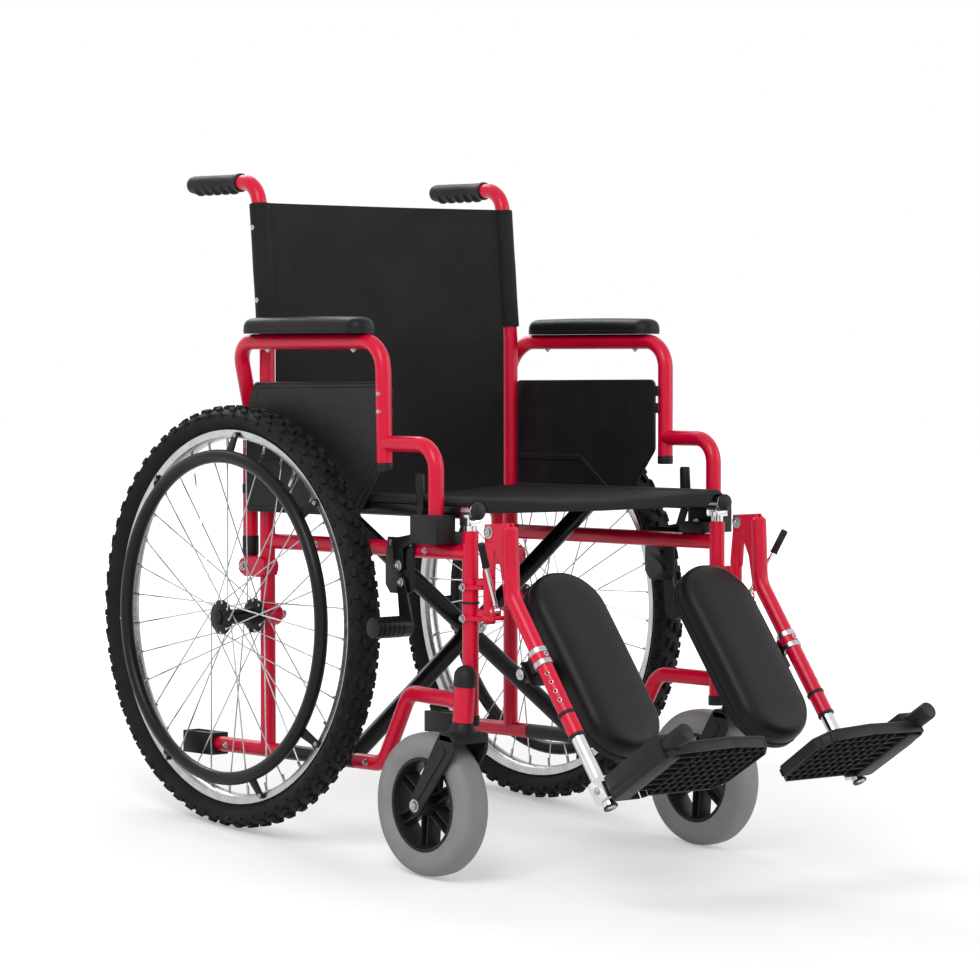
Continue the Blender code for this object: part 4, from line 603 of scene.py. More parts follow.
def push_ring(label, s):
    """The hand ring, its tapered tabs and their screws."""
    bm = bmesh.new()
    circle = [(HANDRIM_R + HANDRIM_TUBE_R * cos(pi * k / 8), HANDRIM_TUBE_R * sin(pi * k / 8))
              for k in range(16)]
    lathe(bm, circle, across(s * HANDRIM_X, AXLE_Y, AXLE_Z, s), steps=128, closed=True)
    face = WHEEL_X + RIM_HALF + GAP
    for angle in HANDRIM_TABS:
        top = wheel_spot(s, HANDRIM_X - 0.004, HANDRIM_R + 0.0050, angle)
        foot = wheel_spot(s, face + 0.0012, RIM_R - 0.0050, angle)
        length = (foot - top).length
        way = (foot - top).normalized()
        wide = Vector((s, 0, 0)).cross(outward(foot))
        turn = Matrix((wide, way.cross(wide), way)).transposed().to_4x4()
        tapered_cube(bm, (0.0170, 0.0030, length + 0.002), 2, (0.62, 1, 1),
                     Matrix.Translation((top + foot) / 2) @ turn, 2)
    finished("push_ring_" + label, bm, BLACK_PAINT, "rear_wheel_" + label, ["handrim_" + label])
    bm = bmesh.new()
    for angle in HANDRIM_TABS:
        spot = wheel_spot(s, face + 0.0022, RIM_R - 0.0075, angle)
        out = Vector((s, 0, 0))
        bar(bm, spot, spot + out * 0.0028, 0.0036, WORLD, 12)
        bar(bm, spot + out * 0.0026, spot + out * 0.0040, 0.0022, WORLD, 6, 0.0016, 0)
    finished("ring_screws_" + label, bm, SILVER, "rear_wheel_" + label)


# Casters

CASTER_X = 0.2576
SWIVEL_Y = AXLE_Y - 0.4700
TRAIL = 0.0551
CASTER_R = 0.0998 * cos(pi / 24)
CASTER_Z = CASTER_R
SEAT_R = 0.0650
FORK_HALF = 0.0315
FORK_T = 0.0050
CROWN_TOP = 0.2075
HOUSING_LOW = 0.2205
HOUSING_TOP = 0.2720


def caster(label, s):
    """Grey tyre, black spoked core, fork with its stem and axle bolt."""
    place = across(s * CASTER_X, SWIVEL_Y + TRAIL, CASTER_Z, s)
    roller = "caster_roller_" + label
    bm = bmesh.new()
    half = [(SEAT_R + GAP, 0.0185), (0.0690, 0.0206), (0.0760, 0.0230), (0.0840, 0.0238), (0.0900, 0.0226),
            (0.0950, 0.0190), (0.0980, 0.0135), (CASTER_R, 0.0060)]
    lathe(bm, mirrored(half), place, steps=96, closed=True)
    finished("grey_tyre_" + label, bm, GREY_TYRE, roller, ["caster_tyre_" + label], smooth=60)
    bm = bmesh.new()
    rim = [(0.0575, 0.0040), (0.0590, 0.0150), (0.0605, 0.0190), (0.0640, 0.0190), (SEAT_R, 0.0180)]
    lathe(bm, mirrored(rim), place, steps=72, closed=True)
    reach = FORK_HALF - FORK_T - GAP
    boss = [(0.0052, reach), (0.0115, reach), (0.0140, reach - 0.004), (0.0165, 0.0080)]
    lathe(bm, mirrored(boss), place, steps=36, closed=True)
    for k in range(6):
        spoke = place @ Matrix.Rotation(pi * k / 3, 4, "Z")
        block(bm, (0.0120, -0.0065, -0.0035), (0.0600, 0.0065, 0.0035), spoke, 0.0015)
        for edge in (-0.0065, 0.0065):
            block(bm, (0.0120, edge - 0.0013, -0.0120), (0.0600, edge + 0.0013, 0.0120), spoke, 0.0008)
    finished("caster_core_" + label, bm, PLASTIC, roller, ["caster_wheel_" + label])
    swivel = "caster_swivel_" + label
    floor = Matrix.Translation((s * CASTER_X, SWIVEL_Y, 0))
    bm = bmesh.new()
    crown = [(0, HOUSING_LOW - GAP), (0.0130, HOUSING_LOW - GAP), (0.0150, HOUSING_LOW - 0.004),
             (0.0185, CROWN_TOP), (0.0185, CROWN_TOP - 0.004), (0, CROWN_TOP - 0.004)]
    lathe(bm, crown, floor, steps=32)
    block(bm, (-FORK_HALF, -0.0200, CROWN_TOP - 0.0140), (FORK_HALF, 0.0140, CROWN_TOP), floor, 0.0035)
    outline = belt((0, CROWN_TOP - 0.0195), 0.0195, (TRAIL, CASTER_Z), 0.0130, 14)
    ridge = belt((0.004, CROWN_TOP - 0.026), 0.0070, (TRAIL - 0.004, CASTER_Z + 0.012), 0.0045, 8)
    for e in (-1, 1):
        side_plate(bm, outline, e, FORK_HALF - FORK_T, FORK_HALF, 0.0010, floor)
        side_plate(bm, ridge, e, FORK_HALF - 0.001, FORK_HALF + 0.0016, place=floor)
    finished("fork_" + label, bm, PLASTIC, swivel, ["caster_fork_" + label])
    bm = bmesh.new()
    for e in (-1, 1):
        side_bolt(bm, e, FORK_HALF, FORK_HALF + 0.0045, (TRAIL, CASTER_Z), 0.0068, floor)
    bar(bm, (-FORK_HALF, TRAIL, CASTER_Z), (FORK_HALF, TRAIL, CASTER_Z), 0.0046, floor, 16)
    bar(bm, (0, 0, HOUSING_LOW - GAP), (0, 0, HOUSING_TOP - 0.010), 0.0078, floor)
    finished("caster_axle_" + label, bm, SILVER, swivel)


for label, s in SIDES:
    tread(label, s)
    alloy_rim(label, s)
    spoked_hub(label, s)
    push_ring(label, s)
    caster(label, s)


# Side frames

TUBE_R = 0.0111
SPIGOT_R = 0.0079
CAP_R = 0.0158
SHEET_T = 0.0024
SIDE_X = 0.2335
REAR_Y = 0.0020
FRONT_Y = -0.4495
LOWER_Z = -0.1960
UPPER_Z = 0.1070
FRONT_LOW_Z = -0.1280
FRONT_TOP_Z = 0.1360
BEND_Z = 0.4000
CANE_TOP_Y = 0.0225
GRIP_Z = 0.6265
CANE_END_Y = 0.1745
RAIL_REAR_Y = 0.1334
BRACE_REAR_Y = -0.0443
BRACE_FRONT_Y = -0.2026
RAIL_Z = 0.1636
CLAMP_Z = (0.0180, 0.0603)
CLAMP_H = 0.0060
SWING_Y = -0.4725
ARM_X = 0.2385
ARM_PIVOT = (0.0360, 0.0698)
GRIP_TIP = (-0.3635, 0.2126)
SHOE_PIVOT = (-0.3250, 0.0620)
SHOE_AT = (-0.3370, 0.0020)


def framed(point):
    return FRAME.inverted() @ Vector(point)


def cane_lean(z):
    """How far back the canes lean at a height, which is nothing up to their bend."""
    return max(0.0, z - BEND_Z) * (CANE_TOP_Y - REAR_Y) / (GRIP_Z - BEND_Z)


def side_frame(label, s):
    """Cane, uprights, rails, axle boss, caster housing, clamps and arm bracket in one welding."""
    x = s * SIDE_X
    body = "frame_" + label
    bm = bmesh.new()
    tube(bm, [(x, REAR_Y, LOWER_Z), (x, REAR_Y, BEND_Z), (x, CANE_TOP_Y, GRIP_Z), (x, CANE_END_Y, GRIP_Z)],
         TUBE_R, bend=0.035, steps=10)
    for start, end, radius in (((FRONT_Y, FRONT_LOW_Z), (FRONT_Y, FRONT_TOP_Z), TUBE_R),
                               ((REAR_Y, UPPER_Z), (FRONT_Y, UPPER_Z), TUBE_R),
                               ((RAIL_REAR_Y, LOWER_Z), (BRACE_REAR_Y, LOWER_Z), TUBE_R),
                               ((BRACE_REAR_Y + 0.01, LOWER_Z), (BRACE_REAR_Y - 0.03, LOWER_Z), SPIGOT_R),
                               ((BRACE_FRONT_Y - 0.01, LOWER_Z), (BRACE_FRONT_Y + 0.03, LOWER_Z), SPIGOT_R)):
        tube(bm, [(x, *start), (x, *end)], radius)
    middle = framed((s * CASTER_X, SWIVEL_Y, (HOUSING_LOW + HOUSING_TOP) / 2))
    tube(bm, [(x, BRACE_FRONT_Y, LOWER_Z), (x, -0.2620, LOWER_Z), (s * 0.2365, -0.3235, -0.0915),
              (s * 0.2500, -0.4236, -0.0935), middle], TUBE_R)
    floor = Matrix.Translation((s * CASTER_X, SWIVEL_Y, 0))
    housing = [(0, HOUSING_LOW), (0.0133, HOUSING_LOW), (0.0143, HOUSING_LOW + 0.001),
               (0.0143, HOUSING_TOP - 0.001), (0.0133, HOUSING_TOP), (0, HOUSING_TOP)]
    lathe(bm, housing, floor, steps=36)
    bar(bm, (s * 0.2190, 0, 0), (s * 0.2500, 0, 0), 0.0155)
    for z in CLAMP_Z:
        plate(bm, belt((x, FRONT_Y), 0.0148, (x, SWING_Y), 0.0063), z - CLAMP_H / 2, z + CLAMP_H / 2,
              plane="XY")
        bar(bm, (x, SWING_Y, z), (x, SWING_Y, z + CLAMP_H / 2 + 0.0100), 0.0039, ease=0.0012)
    inner = ARM_X - TUBE_R - GAP
    outer = ARM_X + TUBE_R + GAP
    for low in (inner - SHEET_T, outer):
        side_plate(bm, belt((REAR_Y, ARM_PIVOT[1]), 0.0150, ARM_PIVOT, 0.0120), s, low, low + SHEET_T)
    block(bm, (s * (inner - 0.0012), REAR_Y - 0.0135, ARM_PIVOT[1] - 0.012),
          (s * (outer + 0.0012), REAR_Y - 0.009, ARM_PIVOT[1] + 0.012))
    finished("side_frame_shell_" + label, bm, RED, body, ["side_frame_" + label])
    bm = bmesh.new()
    dome = [(r, HOUSING_TOP - 0.002) for r in (0, 0.0150, CAP_R)] + [(CAP_R, HOUSING_TOP + 0.0105)]
    dome += [(CAP_R * cos(k * pi / 16), HOUSING_TOP + 0.0112 + CAP_R * sin(k * pi / 16)) for k in range(8)]
    lathe(bm, dome + [(0, HOUSING_TOP + 0.0270)], floor, steps=40)
    foot = FRONT_LOW_Z - 0.0008
    bar(bm, (x, FRONT_Y, foot), (x, FRONT_Y, foot + 0.0140), 0.0124)
    bar(bm, (x, FRONT_Y, 0.0375), (x, FRONT_Y, 0.0405), 0.0128, ease=0.001)
    finished("caps_" + label, bm, PLASTIC, body, smooth=40)
    bm = bmesh.new()
    for z in CLAMP_Z:
        side_bolt(bm, s, SIDE_X + 0.0140, SIDE_X + 0.0185, (FRONT_Y, z), 0.0042)
    side_bolt(bm, s, outer + SHEET_T - 0.0002, outer + SHEET_T + 0.0044, ARM_PIVOT, 0.0052)
    side_bolt(bm, s, inner - SHEET_T + 0.0002, inner - SHEET_T - 0.0034, ARM_PIVOT, 0.0052)
    for spot in ((-0.1250, UPPER_Z), (-0.3650, UPPER_Z), (0.0900, LOWER_Z), (-0.2350, LOWER_Z)):
        side_bolt(bm, s, SIDE_X + TUBE_R - 0.0005, SIDE_X + TUBE_R + 0.0030, spot, 0.0036)
    for z in (0.4550, 0.5600):
        spot = (REAR_Y + cane_lean(z), z)
        bar(bm, (s * (SIDE_X + 0.0140), *spot), (s * (SIDE_X + 0.0156), *spot), 0.0040, ease=0.0005)
    finished("frame_bolts_" + label, bm, SILVER, body)
    axle = across(0, AXLE_Y, AXLE_Z, s)
    bm = bmesh.new()
    stub = [(0, 0.2050), (0.0058, 0.2050), (0.0063, 0.2055), (0.0063, 0.2110), (0, 0.2110)]
    lathe(bm, stub, axle, steps=24)
    bar(bm, (s * 0.2110, 0, 0), (s * 0.2187, 0, 0), 0.0105, sides=6)
    bar(bm, (s * 0.2503, 0, 0), (s * 0.2557, 0, 0), 0.0095)
    bar(bm, (s * 0.2187, 0, 0), (s * 0.3253, 0, 0), 0.0062)
    finished("axle_bolt_" + label, bm, SILVER, body, ["rear_axle_" + label])
    bm = bmesh.new()
    cap = [(0, 0.3253), (0.0100, 0.3253), (0.0105, 0.3258), (0.0103, 0.3282), (0.0085, 0.3300), (0, 0.3304)]
    lathe(bm, cap, axle, steps=36)
    finished("axle_cap_" + label, bm, PLASTIC, body, smooth=50)


def push_grip(label, s):
    """A rubber sleeve with a flared collar, a ribbed underside and a rounded end."""
    place = FRAME @ Matrix.Translation((s * SIDE_X, 0, GRIP_Z)) @ Matrix.Rotation(-pi / 2, 4, "X")
    bm = bmesh.new()
    sleeve = [(0, 0.0615), (0.0130, 0.0615), (0.0137, 0.0622), (0.0138, 0.0680), (0.0128, 0.0710),
              (0.0126, 0.1000), (0.0130, 0.1400), (0.0132, 0.1740), (0.0120, 0.1795), (0.0085, 0.1818),
              (0, 0.1820)]
    lathe(bm, sleeve, place, steps=40)
    rib = mirrored([(0, 0.0068), (0.0095, 0.0062), (0.0124, 0.0020)])
    for k in range(5):
        lathe(bm, rib, place @ Matrix.Translation((0, 0.0043, 0.0800 + k * 0.0200)), steps=24)
    finished("hand_grip_" + label, bm, GRIP_RUBBER, "frame_" + label, ["push_grip_" + label], smooth=40)


def tipping_foot(label, s):
    """The rubber end of the tipping lever, with the plate let into its top."""
    body = "frame_" + label
    eased_copy("tipping_foot_" + label, PLASTIC, body, "black_plastic", 0.0010)
    x = s * SIDE_X
    bm = bmesh.new()
    block(bm, (x - 0.0085, 0.1420, LOWER_Z + 0.0118), (x + 0.0085, 0.1850, LOWER_Z + 0.0135), ease=0.0006)
    finished("tread_plate_" + label, bm, SILVER, body)


def small_hardware(label, s):
    """Front upright plug, arm socket and brake: shaped from their solids, then bolted."""
    body = "frame_" + label
    handle = "brake_handle_" + label
    eased_copy("upright_plug_" + label, CHROME, body, "chrome", 0.0006)
    eased_copy("arm_socket_" + label, PLASTIC, body, "black_plastic", 0.0012)
    eased_copy("brake_bracket_" + label, BLACK_PAINT, body, "black_plastic", 0.0005)
    eased_copy("brake_lever_" + label, BLACK_PAINT, handle, "black_plastic", 0.0006)
    bm = bmesh.new()
    y, z = GRIP_TIP
    flat = FRAME @ Matrix.Translation((s * 0.2500, 0, 0)) @ Matrix.Diagonal((0.6, 1, 1, 1))
    bar(bm, (0, y - 0.001, z - 0.045), (0, y, z), 0.0078, flat, ease=0.003)
    finished("brake_grip_" + label, bm, GRIP_RUBBER, handle, smooth=50)
    bm = bmesh.new()
    side_plate(bm, belt(SHOE_PIVOT, 0.0085, SHOE_AT, 0.0140), s, 0.2505, 0.2545)
    bar(bm, (s * 0.2515, *SHOE_AT), (s * 0.3140, *SHOE_AT), 0.0146, sides=32, ease=0.0012)
    for k in range(6):
        x = 0.268 + k * 0.008
        bar(bm, (s * (x - 0.0022), *SHOE_AT), (s * (x + 0.0022), *SHOE_AT), 0.0150, sides=32)
    finished("brake_roller_" + label, bm, BLACK_PAINT, "brake_arm_" + label, ["brake_shoe_" + label])
    bm = bmesh.new()
    for spot, radius in (((-0.3200, 0.0850), 0.0062), (SHOE_PIVOT, 0.0055)):
        side_bolt(bm, s, 0.2550, 0.2590, spot, radius)
    for y in (-0.3390, -0.2990):
        side_bolt(bm, s, 0.2484, 0.2502, (y, 0.1165), 0.0035)
    bolt(bm, (s * 0.2350, -0.4042, 0.1343), (s * 0.2350, -0.4042, 0.1380), 0.0050)
    finished("clamp_bolts_" + label, bm, SILVER, body)


# Cross brace

BRACE_R = 0.0127
BRACE_Y = (-0.1870, -0.1570)
RAIL_BACK_Y = -0.0300
RAIL_FRONT_Y = -0.4626
CROSS_Z = (LOWER_Z + RAIL_Z) / 2


def cross_brace(label, s, y, body):
    """Base tube, diagonal and seat rail, with the bright end of the rail and its cap."""
    x = s * SIDE_X
    bm = bmesh.new()
    tube(bm, [(x, BRACE_REAR_Y - GAP, LOWER_Z), (x, BRACE_FRONT_Y + GAP, LOWER_Z)], TUBE_R)
    tube(bm, [(x, y, LOWER_Z), (-x, y, RAIL_Z)], BRACE_R, sides=24)
    tube(bm, [(-x, RAIL_BACK_Y, RAIL_Z), (-x, RAIL_FRONT_Y + 0.020, RAIL_Z)], TUBE_R, sides=24)
    finished("brace_" + label, bm, BLACK_PAINT, body, ["cross_brace_" + label])
    bm = bmesh.new()
    tube(bm, [(-x, RAIL_FRONT_Y + 0.022, RAIL_Z), (-x, RAIL_FRONT_Y, RAIL_Z)], 0.01105, sides=24)
    finished("rail_end_" + label, bm, SILVER, body)
    bm = bmesh.new()
    place = FRAME @ Matrix.Translation((-x, RAIL_FRONT_Y - GAP, RAIL_Z)) @ Matrix.Rotation(pi / 2, 4, "X")
    dome = [(0, 0), (0.0116, 0), (0.0122, 0.0006), (0.0122, 0.0028)]
    dome += [(0.0122 * cos(k * pi / 14), 0.0032 + 0.0058 * sin(k * pi / 14)) for k in range(1, 7)]
    lathe(bm, dome + [(0, 0.0090)], place, steps=36)
    other = "left" if label == "right" else "right"
    finished("rail_cap_" + other, bm, PLASTIC, body, ["rail_end_cap_" + other], smooth=50)


def centre_bolt():
    """The bolt through the cross, with a head at each end and a spacer between the braces."""
    bm = bmesh.new()
    front = BRACE_Y[0] - BRACE_R - GAP
    back = BRACE_Y[1] + BRACE_R + GAP
    bar(bm, (0, front, CROSS_Z), (0, back, CROSS_Z), 0.0049)
    bolt(bm, (0, front, CROSS_Z), (0, front - 0.0045, CROSS_Z), 0.0080)
    bolt(bm, (0, back, CROSS_Z), (0, back + 0.0050, CROSS_Z), 0.0080)
    bar(bm, (0, BRACE_Y[0] + BRACE_R + GAP, CROSS_Z), (0, BRACE_Y[1] - BRACE_R - GAP, CROSS_Z), 0.0088)
    finished("brace_bolt", bm, SILVER, "brace_a", ["cross_bolt"])


for label, s in SIDES:
    side_frame(label, s)
    push_grip(label, s)
    tipping_foot(label, s)
    small_hardware(label, s)
cross_brace("right", -1, BRACE_Y[0], "brace_a")
cross_brace("left", 1, BRACE_Y[1], "brace_b")
centre_bolt()


# Armrests

ARM_OUT_X = 0.2685
ARM_REAR_Y = 0.0240
ARM_FRONT_Y = -0.3045
ARM_TOP_Z = 0.3950
POST_X = 0.2665
BRANCH_Z = 0.2537
BRANCH_X = 0.2628
BRANCH_Y = -0.4119


def armrest(label, s):
    """Bent arm tube with its front branch, sleeves and screws."""
    body = "armrest_" + label
    hinge = (s * ARM_X, ARM_PIVOT[0])
    post = (s * POST_X, ARM_FRONT_Y - 0.002)
    branch = (s * BRANCH_X, BRANCH_Y)
    bm = bmesh.new()
    tube(bm, [(*hinge, 0.0550), (*hinge, 0.3000), (s * ARM_OUT_X, ARM_REAR_Y, ARM_TOP_Z),
              (s * ARM_OUT_X, ARM_FRONT_Y, ARM_TOP_Z), (*post, 0.2176)], TUBE_R, bend=0.040, steps=10)
    tube(bm, [(*post, BRANCH_Z), (*branch, BRANCH_Z), (*branch, 0.1300)], TUBE_R, bend=0.035, steps=10)
    finished("arm_tube_" + label, bm, RED, body, ["arm_frame_" + label])
    bm = bmesh.new()
    bar(bm, (*hinge, 0.0853), (*hinge, 0.1140), 0.0119, ease=0.0010)
    bar(bm, (*post, 0.2150), (*post, 0.2280), 0.0115, ease=0.0015)
    finished("arm_sleeve_" + label, bm, PLASTIC, body, smooth=40)
    bm = bmesh.new()
    inside = ARM_X - TUBE_R
    for z in (0.1850, 0.2720):
        side_bolt(bm, s, inside + 0.0005, inside - 0.0020, (ARM_PIVOT[0], z), 0.0034)
    outside = POST_X + TUBE_R
    for z in (0.2980, 0.3225):
        side_bolt(bm, s, outside - 0.0010, outside + 0.0016, (ARM_FRONT_Y - 0.0015, z), 0.0034)
    below = ARM_TOP_Z - TUBE_R
    for y in (-0.0450, -0.2400):
        bolt(bm, (s * ARM_OUT_X, y, below + 0.0005), (s * ARM_OUT_X, y, below - 0.0025), 0.0034)
    finished("arm_screws_" + label, bm, SILVER, body)


PANEL_OUTLINE = ((0.0060, 0.3370), (-0.3000, 0.3395), (-0.3000, 0.2356), (-0.2350, 0.1550),
                 (-0.2150, 0.1500), (0.0290, 0.1500), (0.0230, 0.3000))
PANEL_RIB = ((0.0000, 0.2260), (-0.1400, 0.2260), (-0.2200, 0.1660), (-0.2100, 0.1620), (-0.1360, 0.2170),
             (0.0000, 0.2170))
PANEL_X = 0.2500
PANEL_T = 0.0050


def side_guard(label, s):
    """The moulded guard: rounded outline, folded rim, long rib and clips."""
    outline = rounded(PANEL_OUTLINE, 0.010, 5)
    centre = Vector((-0.135, 0.250, 0))
    face = PANEL_X + PANEL_T
    bm = bmesh.new()
    for inset, low, high, ease in ((0, PANEL_X + 0.0004, face - 0.0004, 0.0012),
                                   (0.0050, face - 0.0010, face + 0.0006, 0.0012),
                                   (0.0150, face, face + 0.0014, 0.0010)):
        side_plate(bm, [p + (centre - p).normalized() * inset for p in outline], s, low, high, ease)
    for low, high in ((PANEL_X + 0.0020, face + 0.0028), (PANEL_X - 0.0022, PANEL_X + 0.0010)):
        side_plate(bm, PANEL_RIB, s, low, high, 0.0012)
    clips = [(ARM_X + TUBE_R + GAP, face - 0.001, 0.0200, ARM_PIVOT[0], z) for z in (0.1750, 0.2650)]
    clips += [(PANEL_X + 0.001, POST_X - TUBE_R - GAP, -0.3065, -0.2900, z) for z in (0.2900, 0.3150)]
    for a, b, y0, y1, z in clips:
        block(bm, (s * a, y0, z), (s * b, y1, z + 0.0150), ease=0.0015)
    finished("guard_panel_" + label, bm, PLASTIC, "armrest_" + label, ["side_panel_" + label], smooth=30)


# Padded pieces

FULL_EDGE = ((1.0, 0.04), (1.0, 0.16), (0.985, 0.22), (1.0, 0.36), (1.0, 0.54), (0.975, 0.70), (0.915, 0.84),
             (0.80, 0.935), (0.60, 0.985), (0.35, 0.998), (0.15, 1.0), (0, 1.0))
ROUND_EDGE = ((0.990, 0.05), (1.0, 0.20), (0.995, 0.34), (0.975, 0.50), (0.935, 0.64), (0.86, 0.77),
              (0.74, 0.875), (0.57, 0.950), (0.36, 0.988), (0.16, 0.998), (0, 1.0))


def pad_form(name, size, rounding, place, body, node, crown, piping, levels=FULL_EDGE):
    """A closed cushion: rounded plan, sides drawn in, crowned top, and a sewn bead round its base."""
    length, width, thick = size
    half_l, half_w = length / 2 - 0.0008, width / 2 - 0.0008
    corners = ((half_w, half_l), (-half_w, half_l), (-half_w, -half_l), (half_w, -half_l))
    plan = rounded(corners, rounding, 12)
    plan = [p for k, p in enumerate(plan) if (p - plan[k - 1]).length > 1e-5]
    dense = []
    for a, b in zip(plan, plan[1:] + plan[:1]):
        parts = max(1, round((b - a).length / 0.008))
        dense += [a.lerp(b, k / parts) for k in range(parts)]
    spine_end = half_l - min(half_w, half_l)
    bm = bmesh.new()
    ring = [bm.verts.new(p) for p in dense]
    edges = [bm.edges.new(pair) for pair in zip(ring, ring[1:] + ring[:1])]
    bmesh.ops.contextual_create(bm, geom=edges)
    for share, lift in levels:
        fresh, edges = pull_ring(bm, edges)
        ring = sort_like(fresh, ring)
        for v, p in zip(ring, dense):
            middle = Vector((0, max(-spine_end, min(spine_end, p.y)), 0))
            v.co = middle.lerp(p, share)
            along = abs(v.co.y) / half_l
            v.co.z = thick * lift * (1 - 0.06 * crown * along * along if lift > 0.5 else 1)
    bmesh.ops.remove_doubles(bm, verts=ring, dist=0.00005)
    bmesh.ops.transform(bm, verts=bm.verts, matrix=place)
    made = finished(name, bm, VINYL, body, [node], smooth=60)
    bead = bmesh.new()
    cord_loop(bead, [p * 0.999 + Vector((0, 0, thick * 0.19)) for p in dense[::2]], piping, place)
    finished(name + "_seam", bead, THREAD, body, smooth=60)


def sort_like(fresh, before):
    """The new ring's points in the order of the ring that they grew from."""
    fresh = set(fresh)
    return [next(e.other_vert(v) for e in v.link_edges if e.other_vert(v) in fresh) for v in before]


def cord_loop(bm, points, radius, place):
    """A thin closed bead along a ring of points."""
    rows = []
    for k, point in enumerate(points):
        way = (points[(k + 1) % len(points)] - points[k - 1]).normalized()
        made = bmesh.ops.create_circle(bm, cap_ends=False, segments=8, radius=radius,
                                       matrix=place @ Matrix.Translation(point) @ turn_to(way))
        rows.append(list(edges_of(made["verts"])))
    for a, b in zip(rows, rows[1:] + rows[:1]):
        bmesh.ops.bridge_loops(bm, edges=a + b)


LEG_X = 0.2345
LEG_ELBOW = (-0.5370, 0.0480)
LEG_END = (-0.6676, -0.1280)
LEG_L = (Vector(LEG_END) - Vector(LEG_ELBOW)).length
EAR_HALF = 0.0030
HOLE_TURN = radians(48)
CALF_X = 0.1408
CALF_BACK = -0.0250
FOOT_X = 0.2280
FOOT_T = 0.3090
FOOT_TILT = radians(4)


def leg_place(s):
    """Y is the leg's forward normal and Z runs down the tube."""
    down = Vector((0, LEG_END[0] - LEG_ELBOW[0], LEG_END[1] - LEG_ELBOW[1])).normalized()
    side = Vector((1, 0, 0))
    turn = Matrix((side, down.cross(side), down)).transposed().to_4x4()
    return FRAME @ Matrix.Translation((s * LEG_X, *LEG_ELBOW)) @ turn


def foot_place(s):
    """The footplate's hinge: Y runs forward along its pin."""
    at = Matrix.Translation((s * (FOOT_X - LEG_X), 0, FOOT_T))
    return leg_place(s) @ at @ Matrix.Rotation(FOOT_TILT, 4, "X")


def arm_cushion(label, s):
    place = FRAME @ Matrix.Translation((s * 0.2725, -0.1425, ARM_TOP_Z + TUBE_R + GAP))
    pad_form("arm_cushion_" + label, (0.2700, 0.0470, 0.0240), 0.0215, place, "armrest_" + label,
             "arm_pad_" + label, 1.2, 0.0007, ROUND_EDGE)


def calf_cushion(label, s):
    at = Matrix.Translation((s * (CALF_X - LEG_X), CALF_BACK, 0.1060))
    pad_form("calf_cushion_" + label, (0.2900, 0.1250, 0.0420), 0.0600,
             leg_place(s) @ at @ Matrix.Rotation(-pi / 2, 4, "X"), "calf_rest_" + label, "calf_pad_" + label,
             1.0, 0.0011)


for label, s in SIDES:
    armrest(label, s)
    side_guard(label, s)
    arm_cushion(label, s)
    calf_cushion(label, s)


# Legrests

HANGER_Y = -0.4888
KNEE = (-0.4945, 0.1368)
RELEASE_PIVOT = (-0.5080, 0.0310)
RELEASE_X = 0.2400
BRACKET_T = (0.0830, 0.1090)
CHANNEL_SIDE = ((-0.4860, 0.1470), (-0.5330, 0.1500), (-0.5400, 0.1400), (-0.5475, 0.0500), (-0.5280, 0.0380),
                (-0.5180, 0.0900), (-0.5010, 0.1235), (-0.4860, 0.1265))


def hanger(label, s):
    """Upright with two eyes, the knee ear and its bolts, and the base of the release lever."""
    x = s * SIDE_X
    body = "hanger_" + label
    bm = bmesh.new()
    tube(bm, [(x, HANGER_Y, 0.0120), (x, HANGER_Y, 0.0850)], 0.0085)
    for z in CLAMP_Z:
        low = z + CLAMP_H / 2 + GAP
        plate(bm, belt((x, HANGER_Y), 0.0080, (x, SWING_Y), 0.0074), low, low + 0.0090, plane="XY",
              ease=0.0008)
    side_plate(bm, belt((HANGER_Y, 0.0790), 0.0110, KNEE, 0.0100), s, LEG_X - EAR_HALF, LEG_X + EAR_HALF,
               0.0008)
    block(bm, (s * 0.2285, -0.5150, 0.0180), (s * 0.2490, HANGER_Y, 0.0240), ease=0.0012)
    y = RELEASE_PIVOT[0]
    for low in (RELEASE_X - 0.0070, RELEASE_X + 0.0050):
        block(bm, (s * low, y - 0.005, 0.0230), (s * (low + 0.0020), y + 0.005, 0.0360), ease=0.0007)
    finished("hanger_post_" + label, bm, RED, body, ["legrest_hanger_" + label])
    bm = bmesh.new()
    for e in (-1, 1):
        side_bolt(bm, s, LEG_X + e * 0.0056, LEG_X + e * 0.0096, KNEE, 0.0066)
    bar(bm, (s * (RELEASE_X - 0.0078), *RELEASE_PIVOT), (s * (RELEASE_X + 0.0078), *RELEASE_PIVOT), 0.0023)
    finished("hanger_bolts_" + label, bm, SILVER, body)


